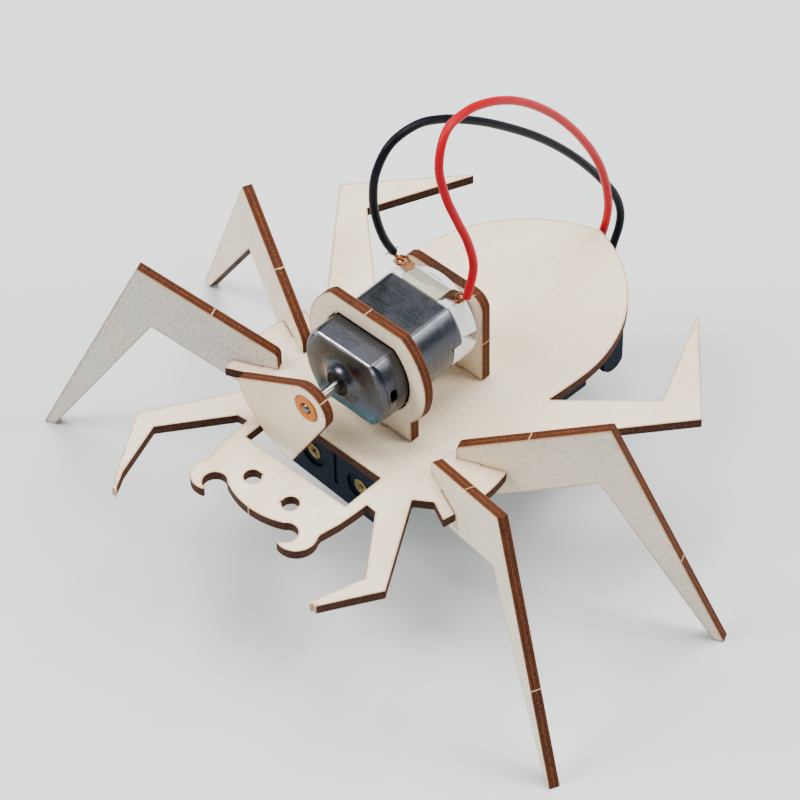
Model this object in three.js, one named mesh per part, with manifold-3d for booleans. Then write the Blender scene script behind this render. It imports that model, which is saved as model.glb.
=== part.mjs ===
// A laser-cut plywood walking-toy kit in the shape of a spider. A flat plywood body stands on four
// bent plywood legs. A small DC motor lies between two plywood brackets on top of it, and spins an
// eccentric plywood weight that dips through a slot in the body and shakes the robot along. A holder
// with two AA cells is taped under the body, and two wires arch over the tail from it to the motor.
// Millimetres, +Z up, the head towards -Y, the spider's own left towards +X. The origin is on the
// surface the feet stand on, midway across and midway along the plywood.
import * as THREE from 'three';
import { mergeVertices } from 'three/addons/utils/BufferGeometryUtils.js';
import Module from 'manifold-3d';

const wasm = await Module();
wasm.setup();

// Driving dimensions
const PLY = 2.0;
const PLATE_TOP = 31.0;
const SEAT_GAP = 0.05;
const SLOT_GAP = 0.3;
const WIRE_DIAMETER = 1.6;

const TAIL_Y = 56.8;
const BROKEN_PALP_Y = -44.9;
const SPLINTER_Y = -50.6;
const Y_SHIFT = -(TAIL_Y + SPLINTER_Y) / 2;
const X_SHIFT = 1.65;

const THORAX = { y: -6.3, radius: 28.45 };
const WEIGHT_SLOT = { halfWidth: 12.2, front: -24.85, rear: -15.95 };
const EYE = { x: 4.68, y: -30.85, radius: 1.56 };

const LEG_ANGLE = THREE.MathUtils.degToRad(23.5);
const LEG_ROOT = { front: { x: 17.6, y: -8.76 }, middle: { x: 18.7, y: -3.6 } };
const LEG_LAP = 5.0;
const LEG_APEX = { s: 28.4, z: 17.3 };
const LEG_KNEE = { s: 26.6, z: 2.9 };
const FOOT = { inner: 48.7, outer: 50.9 };

const AXIS_Z = 13.55;
const CAN = { radius: 10.05, flat: 7.55, front: -12.0, rear: 7.5, wall: 0.8, edge: 0.9 };
const BOSS = { front: -13.7, tip: 2.65, radius: 2.95, root: 4.0 };
const BEARING = { radius: 2.3, front: -13.6 };
const END_CAP = { front: 7.6, shoulder: 11.8, rear: 13.1, disc: 8.0 };
const TERMINAL_EYE = { x: 6.8, y: 10.5 };
const CAP_EAR = { front: 5.7, low: 9.8, high: 14.4 };
const SHAFT = { radius: 1.0, front: -22.0, rear: 12.3 };
const RUNNING_GAP = 0.05;

const FRONT_BRACKET = { y: -6.17, radius: 14.1, z: 13.9, top: 25.1, footX: 10.5, footZ: 5.1, tab: 4.4 };
const REAR_BRACKET = { y: 13.36, halfWidth: 9.7, top: 20.6, corner: 3.2, tab: 4.7 };

const WEIGHT = { front: -21.45, radius: 18.0, hub: 4.75, angle: 225, halfAngle: 32, corner: 1.5, bore: 2.65 };
const BUSHING = { bore: 1.05, radius: 2.6, front: -21.7, rear: -18.9 };

const HOLDER = { x: -1.3, y: -13.7, yaw: -2.6, length: 58.2, width: 31.4, top: -2.85, floor: -16.6 };
const HOLDER_WALL = 1.4;
const HOLDER_SIDE_Z = -12.4;
const CHEEK = { length: 5.0, low: -13.7, corner: 2.45 };
const HOLDER_NOTCH = { length: 4.7, z: -9.2, frontEnd: 10.5 };
const CELL = { radius: 7.05, length: 48.8, nub: 2.7, pitch: 14.5 };
const CONTACT_PITCH = 12.2;
const CONTACT_Z = -9.9;

// Plywood outlines

function arcPoints(x, y, radius, from, to, steps) {
  const points = [];
  for (let i = 0; i <= steps; i += 1) {
    const a = THREE.MathUtils.degToRad(from + ((to - from) * i) / steps);
    points.push(new THREE.Vector2(x + radius * Math.cos(a), y + radius * Math.sin(a)));
  }
  return points;
}

function point(x, y) {
  return new THREE.Vector2(x, y);
}

function angleOf(x, y) {
  return THREE.MathUtils.radToDeg(Math.atan2(y, x));
}

// A place on a leg's slot: s runs outward along the leg's front face and n across its thickness.
function onLeg(root, angle, s, n) {
  const c = Math.cos(angle);
  const k = Math.sin(angle);
  return point(root.x + s * c - n * k, root.y + s * k + n * c);
}

// The open-ended slot that a leg slides into, from one edge at the rim to the other edge at the rim.
function legSlot(root, angle, frontAtRim, rearAtRim) {
  const inner = LEG_LAP - SLOT_GAP;
  return [
    onLeg(root, angle, frontAtRim, -SLOT_GAP),
    onLeg(root, angle, inner, -SLOT_GAP),
    onLeg(root, angle, inner, PLY + SLOT_GAP),
    onLeg(root, angle, rearAtRim, PLY + SLOT_GAP),
  ];
}

// The jaw: a chin that bows forward and one hooked mandible.
function jawPoints() {
  const chinRadius = 15.7;
  const chinHalfAngle = 27.5;
  return [
    ...arcPoints(0, -36.5 + chinRadius, chinRadius, -90, -90 + chinHalfAngle, 6),
    ...arcPoints(8.75, -36.2, 2.2, 134, -84, 9),
    ...arcPoints(10.5, -35.3, 3.85, -113, 33, 11),
    point(13.65, -32.4),
  ];
}

function thoraxRim(from, to) {
  const a = angleOf(from.x, from.y - THORAX.y);
  const b = angleOf(to.x, to.y - THORAX.y);
  return arcPoints(0, THORAX.y, THORAX.radius, a, b, 6);
}

function abdomenPoints() {
  const widest = { x: 22.2, y: 27.7 };
  const length = TAIL_Y - widest.y;
  const radius = (widest.x ** 2 + length ** 2) / (2 * widest.x);
  const end = angleOf(radius - widest.x, length);
  return [point(21.5, 18.1), point(21.95, 23), ...arcPoints(widest.x - radius, widest.y, radius, 0, end, 14)];
}

// One half of the body's outline on the +X side, from the chin round to the tail.
function halfBody(palpTip) {
  const frontSlot = legSlot(LEG_ROOT.front, -LEG_ANGLE, 10.9, 11.6);
  const middleSlot = legSlot(LEG_ROOT.middle, LEG_ANGLE, 9.6, 9.3);
  return [
    ...jawPoints(),
    point(14.4, -28.6),
    point(14.7, -25.0),
    point(14.8, -22.1),
    point(16.95, -22.3),
    point(26.0, -34.35),
    ...palpTip,
    point(30.65, -34.1),
    point(19.8, -15.9),
    point(23.0, -13.75),
    point(27.0, -15.7),
    ...frontSlot,
    ...thoraxRim(frontSlot[3], middleSlot[0]).slice(1, -1),
    ...middleSlot,
    point(26.6, 4.8),
    point(22.4, 3.0),
    point(21.9, 4.7),
    point(44.85, 32.85),
    point(28.0, 51.9),
    point(27.6, 51.65),
    point(36.45, 31.65),
    ...abdomenPoints(),
  ];
}

const LEFT_PALP_TIP = [point(22.7, BROKEN_PALP_Y), point(24.2, BROKEN_PALP_Y + 0.1)];
const RIGHT_PALP_TIP = [
  point(22.3, -45.5),
  point(20.1, -49.3),
  point(19.8, SPLINTER_Y),
  point(20.8, SPLINTER_Y + 0.1),
  point(22.3, -48.2),
];

function rectanglePath(x0, y0, x1, y1) {
  return new THREE.Path([point(x0, y0), point(x1, y0), point(x1, y1), point(x0, y1)]);
}

function circlePath(x, y, radius, steps = 20) {
  return new THREE.Path(arcPoints(x, y, radius, 0, 360, steps).slice(0, -1));
}

function bodyShape() {
  const left = halfBody(LEFT_PALP_TIP);
  const right = halfBody(RIGHT_PALP_TIP).slice(1, -1).reverse();
  const shape = new THREE.Shape([...left, ...right.map((p) => point(-p.x, p.y))]);
  const slot = WEIGHT_SLOT;
  shape.holes.push(rectanglePath(-slot.halfWidth, slot.front, slot.halfWidth, slot.rear));
  for (const side of [1, -1]) shape.holes.push(circlePath(side * EYE.x, EYE.y, EYE.radius));
  for (const b of [FRONT_BRACKET, REAR_BRACKET]) {
    const x = b.tab + SLOT_GAP;
    shape.holes.push(rectanglePath(-x, b.y - SLOT_GAP, x, b.y + PLY + SLOT_GAP));
  }
  return shape;
}

// A bent leg, drawn outward (s) and up (z) from the body's top face. Its inner end is a fork that
// takes the body between its prongs. Splay moves the foot out along the leg.
function legShape(side, reach, endRadius, splay) {
  const topAt = (s) => 2.8 + ((LEG_APEX.z - 2.8) * s) / LEG_APEX.s;
  const footZ = -PLATE_TOP;
  const lap = LEG_LAP;
  const underside = -PLY - SEAT_GAP;
  const topCorner = [
    point(reach, Math.max(topAt(reach) - endRadius, SEAT_GAP + 0.6)),
    point(reach + 0.3 * endRadius, topAt(reach) - 0.3 * endRadius),
    point(reach + endRadius, topAt(reach + endRadius)),
  ];
  const prongTip = point(2.6, underside);
  const lowerProng = new THREE.QuadraticBezierCurve(prongTip, point(3.2, -7.8), point(9.0, -6.3));
  const points = [
    ...topCorner,
    point(LEG_APEX.s, LEG_APEX.z),
    point(FOOT.outer + splay, footZ),
    point(FOOT.inner + splay, footZ),
    point(LEG_KNEE.s, LEG_KNEE.z),
    ...lowerProng.getPoints(8).reverse(),
    point(lap, underside),
    point(lap, SEAT_GAP),
    point(reach, SEAT_GAP),
  ];
  return new THREE.Shape(points.map((p) => point(side * p.x, p.y)));
}

function frontBracketShape() {
  const b = FRONT_BRACKET;
  const low = angleOf(12.6, 8.0 - b.z);
  const high = angleOf(Math.sqrt(b.radius ** 2 - (b.top - b.z) ** 2), b.top - b.z);
  const half = [
    point(b.tab, -PLY + SEAT_GAP),
    point(b.tab, SEAT_GAP),
    point(b.footX, SEAT_GAP),
    point(b.footX, b.footZ),
    ...arcPoints(0, b.z, b.radius, low, high, 12),
  ];
  const shape = mirroredShape(half);
  shape.holes.push(new THREE.Path(motorSection(0.12)));
  return shape;
}

function rearBracketShape() {
  const b = REAR_BRACKET;
  return mirroredShape([
    point(b.tab, -PLY + SEAT_GAP),
    point(b.tab, SEAT_GAP),
    point(b.halfWidth, SEAT_GAP),
    ...arcPoints(b.halfWidth - b.corner, b.top - b.corner, b.corner, 0, 90, 7),
  ]);
}

function mirroredShape(half) {
  const other = half.slice().reverse();
  return new THREE.Shape([...half, ...other.map((p) => point(-p.x, p.y))]);
}

// The motor's section: a circle cut by two level flats, grown outward by some clearance.
function motorSection(grow) {
  const radius = CAN.radius + grow;
  const flat = CAN.flat + grow;
  const a = angleOf(Math.sqrt(radius ** 2 - flat ** 2), flat);
  return [
    ...arcPoints(0, AXIS_Z, radius, -a, a, 12),
    ...arcPoints(0, AXIS_Z, radius, 180 - a, 180 + a, 12),
  ];
}

// The eccentric weight: a round hub whose two straight sides run out to an arc about the shaft.
function weightShape() {
  const w = WEIGHT;
  const corner = w.radius - w.corner;
  const spread = w.halfAngle - 5;
  const outline = [
    ...arcPoints(0, AXIS_Z, w.hub, w.angle - 360 + 105, w.angle - 105, 12),
    ...roundCorner(w.angle - spread, corner, w.corner, w.angle - 75, w.angle - spread),
    ...arcPoints(0, AXIS_Z, w.radius, w.angle - spread + 4, w.angle + spread - 4, 12),
    ...roundCorner(w.angle + spread, corner, w.corner, w.angle + spread, w.angle + 75),
  ];
  const shape = new THREE.Shape(outline);
  shape.holes.push(circlePath(0, AXIS_Z, w.bore, 24));
  return shape;
}

function roundCorner(angle, distance, radius, from, to) {
  const a = THREE.MathUtils.degToRad(angle);
  return arcPoints(distance * Math.cos(a), AXIS_Z + distance * Math.sin(a), radius, from, to, 5);
}

// Solids

function extrude(shape, depth) {
  return new THREE.ExtrudeGeometry(shape, { depth, bevelEnabled: false, steps: 1, curveSegments: 12 });
}

// A shape drawn across (x) and up (z), standing with its front face at y and its thickness behind it.
function standing(shape, y, thickness) {
  return extrude(shape, thickness).rotateX(Math.PI / 2).translate(0, y + thickness, 0);
}

// A turned solid about the motor's axis, from [radius, y] pairs.
function turned(pairs, segments = 24) {
  const profile = pairs.map(([radius, y]) => point(radius, y));
  return new THREE.LatheGeometry(profile, segments).translate(0, 0, AXIS_Z);
}

function ring(inner, outer, y0, y1, segments) {
  return turned([[inner, y0], [outer, y0], [outer, y1], [inner, y1], [inner, y0]], segments);
}

function block(x0, y0, z0, x1, y1, z1) {
  const box = new THREE.BoxGeometry(x1 - x0, y1 - y0, z1 - z0);
  return box.translate((x0 + x1) / 2, (y0 + y1) / 2, (z0 + z1) / 2);
}

function toSolid(geometry) {
  const bare = geometry.clone();
  bare.deleteAttribute('normal');
  bare.deleteAttribute('uv');
  const merged = mergeVertices(bare, 1e-4);
  return new wasm.Manifold(new wasm.Mesh({
    numProp: 3,
    vertProperties: new Float32Array(merged.attributes.position.array),
    triVerts: new Uint32Array(merged.index.array),
  }));
}

function toGeometry(solid) {
  const mesh = solid.getMesh();
  const geometry = new THREE.BufferGeometry();
  geometry.setAttribute('position', new THREE.BufferAttribute(new Float32Array(mesh.vertProperties), 3));
  geometry.setIndex(new THREE.BufferAttribute(new Uint32Array(mesh.triVerts), 1));
  geometry.computeVertexNormals();
  return geometry;
}

function cut(base, ...tools) {
  return toGeometry(tools.reduce((solid, tool) => solid.subtract(toSolid(tool)), toSolid(base)));
}

function join(...pieces) {
  return toGeometry(pieces.slice(1).reduce((solid, piece) => solid.add(toSolid(piece)), toSolid(pieces[0])));
}

function round(radius, sides) {
  return new THREE.Shape(arcPoints(0, 0, radius, 0, 360, sides).slice(0, -1));
}

function tube(points, radius, sides, steps) {
  const path = new THREE.CatmullRomCurve3(points.map(([x, y, z]) => new THREE.Vector3(x, y, z)));
  return new THREE.ExtrudeGeometry(round(radius, sides), { extrudePath: path, steps, bevelEnabled: false });
}

// The can: a drawn steel cup with a bearing boss in front, open at the back. Each side has a vent in
// front and a notch behind that keys the end cap.
function motorCan() {
  const w = CAN.wall;
  const length = CAN.rear - CAN.front - CAN.edge;
  const cup = standing(new THREE.Shape(motorSection(0)), CAN.front + CAN.edge, length);
  const nose = standing(new THREE.Shape(motorSection(-CAN.edge / 2)), CAN.front, CAN.edge + 0.1);
  const boss = turned([
    [0, BOSS.front],
    [BOSS.tip, BOSS.front],
    [BOSS.radius, BOSS.front + 0.3],
    [BOSS.radius, CAN.front - 0.7],
    [BOSS.radius + 0.3, CAN.front - 0.25],
    [BOSS.root, CAN.front],
    [BOSS.root, CAN.front + 0.2],
    [0, CAN.front + 0.2],
  ]);
  const hollow = standing(new THREE.Shape(motorSection(-w)), CAN.front + w, CAN.rear - CAN.front);
  const seatRadius = BEARING.radius + RUNNING_GAP;
  const bearingSeat = ring(0, seatRadius, BOSS.front - 1, CAN.front + 2 * w, 20);
  const vents = [1, -1].map((side) => {
    const x = side * CAN.radius;
    return block(x - 2, -10.6, AXIS_Z - 0.3, x + 2, -9.0, AXIS_Z + 2.3);
  });
  return cut(join(cup, nose, boss), hollow, bearingSeat, ...vents, ...capKeys(0.12, CAN.rear + 1));
}

// The block on each side that the end cap's ear takes up, grown by some clearance.
function capKeys(grow, rear) {
  const e = CAP_EAR;
  return [1, -1].map((side) => {
    const inner = side * (CAN.radius - 1.3);
    const outer = side * (CAN.radius + 1);
    const [x0, x1] = [Math.min(inner, outer), Math.max(inner, outer)];
    return block(x0, e.front - grow, e.low - grow, x1, rear, e.high + grow);
  });
}

// The moulded end cap: flats like the can's, a round disc behind them, a shallow recess between the
// terminals, an ear each side that keys into the can, and a seat for the rear bearing.
function motorEndCap() {
  const c = END_CAP;
  const section = new THREE.Shape(motorSection(-0.1));
  const shell = standing(section, c.front, c.shoulder - c.front);
  const disc = ring(0, c.disc, c.shoulder - 1, c.rear, 32);
  const earStock = standing(section, CAP_EAR.front, c.front + 0.5 - CAP_EAR.front);
  const ears = capKeys(0, c.front + 0.3).map((key) => toGeometry(toSolid(earStock).intersect(toSolid(key))));
  const hollow = standing(new THREE.Shape(motorSection(-1.4)), c.front - 1, 4.2);
  const recess = block(-5.4, 8.7, AXIS_Z + CAN.flat - 0.8, 4.6, 11.3, AXIS_Z + CAN.flat + 1);
  const seat = ring(0, 2.05, 10, c.rear - 0.6, 20);
  const grooves = [1, -1].map((side) => {
    const x = side * CAN.radius;
    return block(x - 1.1, c.front + 0.6, CAP_EAR.high - 1.5, x + 1.1, c.rear, CAP_EAR.high - 0.3);
  });
  return cut(join(shell, disc, ...ears), hollow, recess, seat, ...grooves);
}

function magnet(side) {
  const spread = 40;
  const middle = side > 0 ? 0 : 180;
  const outline = [
    ...arcPoints(0, AXIS_Z, 9.15, middle - spread, middle + spread, 8),
    ...arcPoints(0, AXIS_Z, 7.2, middle + spread, middle - spread, 8),
  ];
  return standing(new THREE.Shape(outline), -8.4, 13.4);
}

const ROTOR = { radius: 6.7, front: -6.4, length: 9.6, poles: 3 };

// The laminated three-pole core.
function rotorCore() {
  const outline = [];
  for (let pole = 0; pole < ROTOR.poles; pole += 1) {
    const middle = 90 + (pole * 360) / ROTOR.poles;
    outline.push(...arcPoints(0, AXIS_Z, 2.7, middle - 60, middle - 24, 2));
    outline.push(...arcPoints(0, AXIS_Z, 5.5, middle - 12, middle - 12, 1).slice(1));
    outline.push(...arcPoints(0, AXIS_Z, 5.9, middle - 50, middle - 50, 1).slice(1));
    outline.push(...arcPoints(0, AXIS_Z, ROTOR.radius, middle - 52, middle + 52, 8));
    outline.push(...arcPoints(0, AXIS_Z, 5.9, middle + 50, middle + 50, 1).slice(1));
    outline.push(...arcPoints(0, AXIS_Z, 5.5, middle + 12, middle + 12, 1).slice(1));
    outline.push(...arcPoints(0, AXIS_Z, 2.7, middle + 24, middle + 24, 1).slice(1));
  }
  const shape = new THREE.Shape(outline);
  shape.holes.push(circlePath(0, AXIS_Z, SHAFT.radius + RUNNING_GAP, 16));
  return standing(shape, ROTOR.front, ROTOR.length);
}

// One coil of enamelled wire round one pole's arm, drawn with its pole upright.
function poleWinding() {
  const y0 = ROTOR.front - 1.2;
  const y1 = ROTOR.front + ROTOR.length + 1.2;
  const outer = block(-2.5, y0, 3.1, 2.5, y1, 4.5);
  const arm = block(-1.45, ROTOR.front - 0.15, 3, 1.45, ROTOR.front + ROTOR.length + 0.15, 6);
  return cut(outer, arm);
}

// A copper terminal: a strip on the end cap's flat that narrows to an eye outside it.
function terminal(side) {
  const eye = { x: TERMINAL_EYE.x, y: TERMINAL_EYE.y, radius: 1.35, bore: 0.75 };
  const outline = [
    point(4.8, 9.0),
    point(eye.x - 0.5, eye.y - eye.radius),
    ...arcPoints(eye.x, eye.y, eye.radius, -80, 80, 8),
    point(eye.x - 0.5, eye.y + eye.radius),
    point(4.8, 11.6),
  ];
  const shape = new THREE.Shape(outline.map((p) => point(side * p.x, p.y)));
  shape.holes.push(circlePath(side * eye.x, eye.y, eye.bore, 12));
  return extrude(shape, 0.35).translate(0, 0, AXIS_Z + CAN.flat + SEAT_GAP);
}

// A springy brush leaf beside the commutator.
function brush(side) {
  return block(side * 2.45 - 0.12, 8.0, AXIS_Z - 4.5, side * 2.45 + 0.12, 9.2, AXIS_Z + 4.5);
}

// Battery holder: across (x), from its front wall to the rear (y), and below the body's top face (z).

function endWallShape(low, corner) {
  const half = HOLDER.width / 2;
  return new THREE.Shape([
    point(-half, HOLDER.top),
    ...arcPoints(-half + corner, low + corner, corner, 180, 270, 5),
    ...arcPoints(half - corner, low + corner, corner, 270, 360, 5),
    point(half, HOLDER.top),
  ]);
}

// The deeper rear end of a side wall, drawn along the holder (y) and down (z), with its lower corners
// rounded.
function cheekSolid(side) {
  const h = HOLDER;
  const { corner, length, low } = CHEEK;
  const y0 = h.length - length;
  const y1 = h.length;
  const outline = new THREE.Shape([
    point(y0, h.top),
    ...arcPoints(y0 + corner, low + corner, corner, 180, 270, 5),
    ...arcPoints(y1 - corner, low + corner, corner, 270, 360, 5),
    point(y1, h.top),
  ]);
  const slab = extrude(outline, HOLDER_WALL);
  slab.rotateX(Math.PI / 2);
  slab.rotateZ(Math.PI / 2);
  const x = side > 0 ? h.width / 2 - HOLDER_WALL : -h.width / 2;
  return slab.translate(x, 0, 0);
}

function holderTray() {
  const h = HOLDER;
  const half = h.width / 2;
  const w = HOLDER_WALL;
  const tray = block(-half, 0.1, HOLDER_SIDE_Z, half, h.length - 0.1, h.top);
  const front = standing(endWallShape(h.floor, 2.2), 0, w);
  const rear = standing(endWallShape(CHEEK.low, CHEEK.corner), h.length - w, w);
  const cheeks = [1, -1].map((side) => cheekSolid(side));
  const hollow = block(-half + w, w, h.floor - 1, half - w, h.length - w, h.top - 1.2);
  const { length: notch, z: notchZ, frontEnd } = HOLDER_NOTCH;
  const rearEnd = h.length - CHEEK.length;
  const notches = [[w, frontEnd], [rearEnd - notch, rearEnd]].map(([y0, y1]) =>
    block(-half - 1, y0, h.floor - 1, half + 1, y1, notchZ),
  );
  const recesses = contactPlaces().map((x) => barrel(x, -1, 0.5, CONTACT_Z, 3.2));
  const rivetHoles = contactPlaces().map((x) => barrel(x, -1, w + 1, CONTACT_Z, 1.25));
  const wireHoles = contactPlaces().map((x) => barrel(x, h.length - w - 1, h.length + 1, CONTACT_Z, 1.1));
  const groove = block(-0.45, -1, CONTACT_Z - 3.6, 0.45, 0.35, CONTACT_Z + 4.6);
  const walls = join(tray, front, rear, ...cheeks);
  return cut(walls, hollow, groove, ...notches, ...recesses, ...rivetHoles, ...wireHoles);
}

function contactPlaces() {
  return [-CONTACT_PITCH / 2, CONTACT_PITCH / 2];
}

function cellPlaces() {
  return [-CELL.pitch / 2, CELL.pitch / 2];
}

// A short cylinder along Y.
function barrel(x, y0, y1, z, radius, sides = 16) {
  const cylinder = new THREE.CylinderGeometry(radius, radius, y1 - y0, sides);
  return cylinder.translate(x, (y0 + y1) / 2, z);
}

// A turned solid along Y about (x, z), from [radius, y] pairs.
function turnedAt(x, z, pairs, segments) {
  const profile = pairs.map(([radius, y]) => point(radius, y));
  return new THREE.LatheGeometry(profile, segments).translate(x, 0, z);
}

const CELL_Z = HOLDER.top - 1.2 - SEAT_GAP - CELL.radius;

// An AA cell with its button at the end that forward says.
function cell(x, forward) {
  const y0 = HOLDER_WALL + 1.0 + (forward ? 0 : 3.4);
  const r = CELL.radius;
  const base = [[0, 0], [r - 0.5, 0], [r, 0.5]];
  const crown = [[r, CELL.length - 0.6], [r - 0.6, CELL.length], [2.7, CELL.length]];
  const nub = [[2.7, CELL.length + 1.1], [0, CELL.length + 1.2]];
  const along = (y) => (forward ? y0 + CELL.length + 1.2 - y : y0 + y);
  const pairs = [...base, ...crown, ...nub].map(([radius, y]) => [radius, along(y)]);
  return turnedAt(x, CELL_Z, forward ? pairs.reverse() : pairs, 20);
}

// A tapering coil spring against an end wall. It starts at y and reaches to y plus length.
function contactSpring(x, y, length) {
  const turns = 3;
  const steps = 36;
  const points = [];
  for (let i = 0; i <= steps; i += 1) {
    const t = i / steps;
    const a = t * turns * 2 * Math.PI;
    const radius = 3.4 - 1.3 * t;
    points.push([x + radius * Math.cos(a), y + 0.5 + (length - 1.0) * t, CELL_Z + radius * Math.sin(a)]);
  }
  return tube(points, 0.35, 6, steps * 2);
}

function rivet(x) {
  const head = [[0, 0.15], [0.9, 0.15], [1.9, 0.35], [1.9, 0.48]];
  const shank = [[1.15, 0.48], [1.15, 1.4], [0, 1.4]];
  return turnedAt(x, CONTACT_Z, [...head, ...shank], 14);
}

// Wires: the points that each centreline follows, from the motor's terminal to the holder's rear wall.

const RED_WIRE = [
  [8.7, 10.4, 23.1], [8.7, 12.1, 29.2], [8.2, 11.3, 35.4], [7.3, 9.5, 41.5], [6.1, 8.0, 47.6],
  [4.6, 8.0, 53.8], [3.0, 11.6, 58.3], [2.1, 17.9, 58.2], [1.7, 23.8, 55.9], [1.4, 29.2, 52.5],
  [1.2, 34.1, 48.4], [1.0, 38.6, 43.8], [0.9, 42.7, 39.0], [0.8, 46.5, 33.8], [0.7, 49.9, 28.5],
  [0.7, 53.0, 22.8], [0.7, 55.5, 17.0], [0.5, 57.3, 10.9], [0.1, 58.4, 4.6], [-0.8, 58.2, -1.7],
  [-1.6, 56.4, -6.5], [-3.1, 52.4, -9.4], [-4.4, 48.0, -10.1], [-4.8, 45.1, -9.9],
];
const BLACK_WIRE = [
  [-8.9, 10.2, 22.8], [-9.1, 8.4, 26.8], [-9.3, 6.8, 32.5], [-9.4, 6.1, 38.4], [-9.3, 6.9, 44.2],
  [-8.7, 10.1, 49.1], [-7.8, 15.7, 50.3], [-6.9, 21.2, 48.4], [-6.1, 26.2, 45.3], [-5.4, 31.0, 41.8],
  [-4.8, 35.5, 38.0], [-4.2, 39.9, 34.0], [-3.6, 44.1, 29.8], [-3.1, 48.0, 25.4], [-2.6, 51.7, 20.8],
  [-2.3, 55.2, 16.0], [-2.1, 58.5, 11.0], [-1.2, 61.8, 5.0], [-0.6, 62.9, 0.2], [-0.4, 62.4, -3.2],
  [0.1, 60.3, -6.0], [1.5, 57.0, -8.2], [4.0, 52.6, -9.8], [6.4, 47.9, -10.1], [7.4, 44.5, -9.9],
];
const WIRE_STEPS = 72;

function wire(points) {
  return tube(points, WIRE_DIAMETER / 2, 8, WIRE_STEPS);
}

// The bared strands, from the end of the insulation down into the terminal's eye.
function bareStrands(side, wireEnd) {
  const [x, y, z] = wireEnd;
  const eye = TERMINAL_EYE;
  const rest = AXIS_Z + CAN.flat + 0.95;
  const lead = side * (Math.abs(x) - 0.15);
  const route = [[lead, y, z - 0.75], [side * 7.8, y, rest + 0.05], [side * eye.x, eye.y, rest]];
  return tube(route, 0.3, 8, 8);
}

// Materials

function material(color, roughness, metalness = 0) {
  return new THREE.MeshStandardMaterial({ color, roughness, metalness });
}

const plywood = () => material(0xe6d3b8, 0.75);
const steel = () => material(0x8b919b, 0.35, 1);
const brass = () => material(0xc9a961, 0.35, 1);
const copper = () => material(0xb06a3c, 0.4, 1);
const blackPlastic = () => material(0x15181f, 0.45);
const whitePlastic = () => material(0xe8e8ea, 0.4);

// Assembly

const robot = new THREE.Group();
const body = new THREE.Group();
body.position.set(X_SHIFT, Y_SHIFT, PLATE_TOP);
robot.add(body);

function add(parent, name, geometry, finish) {
  const mesh = new THREE.Mesh(geometry, finish);
  mesh.name = name;
  parent.add(mesh);
  return mesh;
}

add(body, 'body_plate', extrude(bodyShape(), PLY).translate(0, 0, -PLY), plywood());

const LEGS = [
  { name: 'leg_front_left', side: 1, turn: -1, reach: 0.1, endRadius: 0.8, splay: 0 },
  { name: 'leg_front_right', side: -1, turn: -1, reach: 1.9, endRadius: 1.4, splay: 0 },
  { name: 'leg_middle_left', side: 1, turn: 1, reach: 0.1, endRadius: 0.8, splay: 0 },
  { name: 'leg_middle_right', side: -1, turn: 1, reach: 0.3, endRadius: 1.4, splay: 3.6 },
];
for (const { name, side, turn, reach, endRadius, splay } of LEGS) {
  const mesh = add(body, name, standing(legShape(side, reach, endRadius, splay), 0, PLY), plywood());
  const root = turn < 0 ? LEG_ROOT.front : LEG_ROOT.middle;
  mesh.position.set(side * root.x, root.y, 0);
  mesh.rotation.z = side * turn * LEG_ANGLE;
}

add(body, 'front_motor_bracket', standing(frontBracketShape(), FRONT_BRACKET.y, PLY), plywood());
add(body, 'rear_motor_bracket', standing(rearBracketShape(), REAR_BRACKET.y, PLY), plywood());

add(body, 'motor_can', motorCan(), steel());
add(body, 'motor_end_cap', motorEndCap(), whitePlastic());
const bearingBore = SHAFT.radius + RUNNING_GAP;
const frontBearing = ring(bearingBore, BEARING.radius, BEARING.front, CAN.front + 0.7, 20);
add(body, 'front_bearing', frontBearing, material(0x1c1d20, 0.5, 1));
add(body, 'rear_bearing', ring(bearingBore, 2.0, 11.2, END_CAP.rear - 0.7, 20), brass());
for (const [name, side] of [['left', 1], ['right', -1]]) {
  add(body, `magnet_${name}`, magnet(side), material(0x33302e, 0.7));
  add(body, `terminal_${name}`, terminal(side), copper());
  add(body, `brush_${name}`, brush(side), copper());
}

const shaftProfile = [[0, SHAFT.front], [0.8, SHAFT.front], [SHAFT.radius, SHAFT.front + 0.2]];
add(body, 'motor_shaft', turned([...shaftProfile, [SHAFT.radius, SHAFT.rear], [0, SHAFT.rear]], 20), steel());
add(body, 'rotor_core', rotorCore(), steel());
for (let pole = 0; pole < ROTOR.poles; pole += 1) {
  const winding = add(body, `winding_${pole + 1}`, poleWinding(), copper());
  winding.position.z = AXIS_Z;
  winding.rotation.y = (pole * 2 * Math.PI) / ROTOR.poles;
}
add(body, 'commutator', ring(SHAFT.radius + RUNNING_GAP, 2.2, 4.6, 9.8, 18), copper());
const { bore, radius, front, rear } = BUSHING;
const rim = [[radius - 0.15, front], [radius, front + 0.15]];
const bushing = [[bore, front], ...rim, [radius, rear], [bore, rear], [bore, front]];
add(body, 'shaft_bushing', turned(bushing), material(0xd9772a, 0.45));
add(body, 'eccentric_weight', standing(weightShape(), WEIGHT.front, PLY), plywood());

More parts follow.
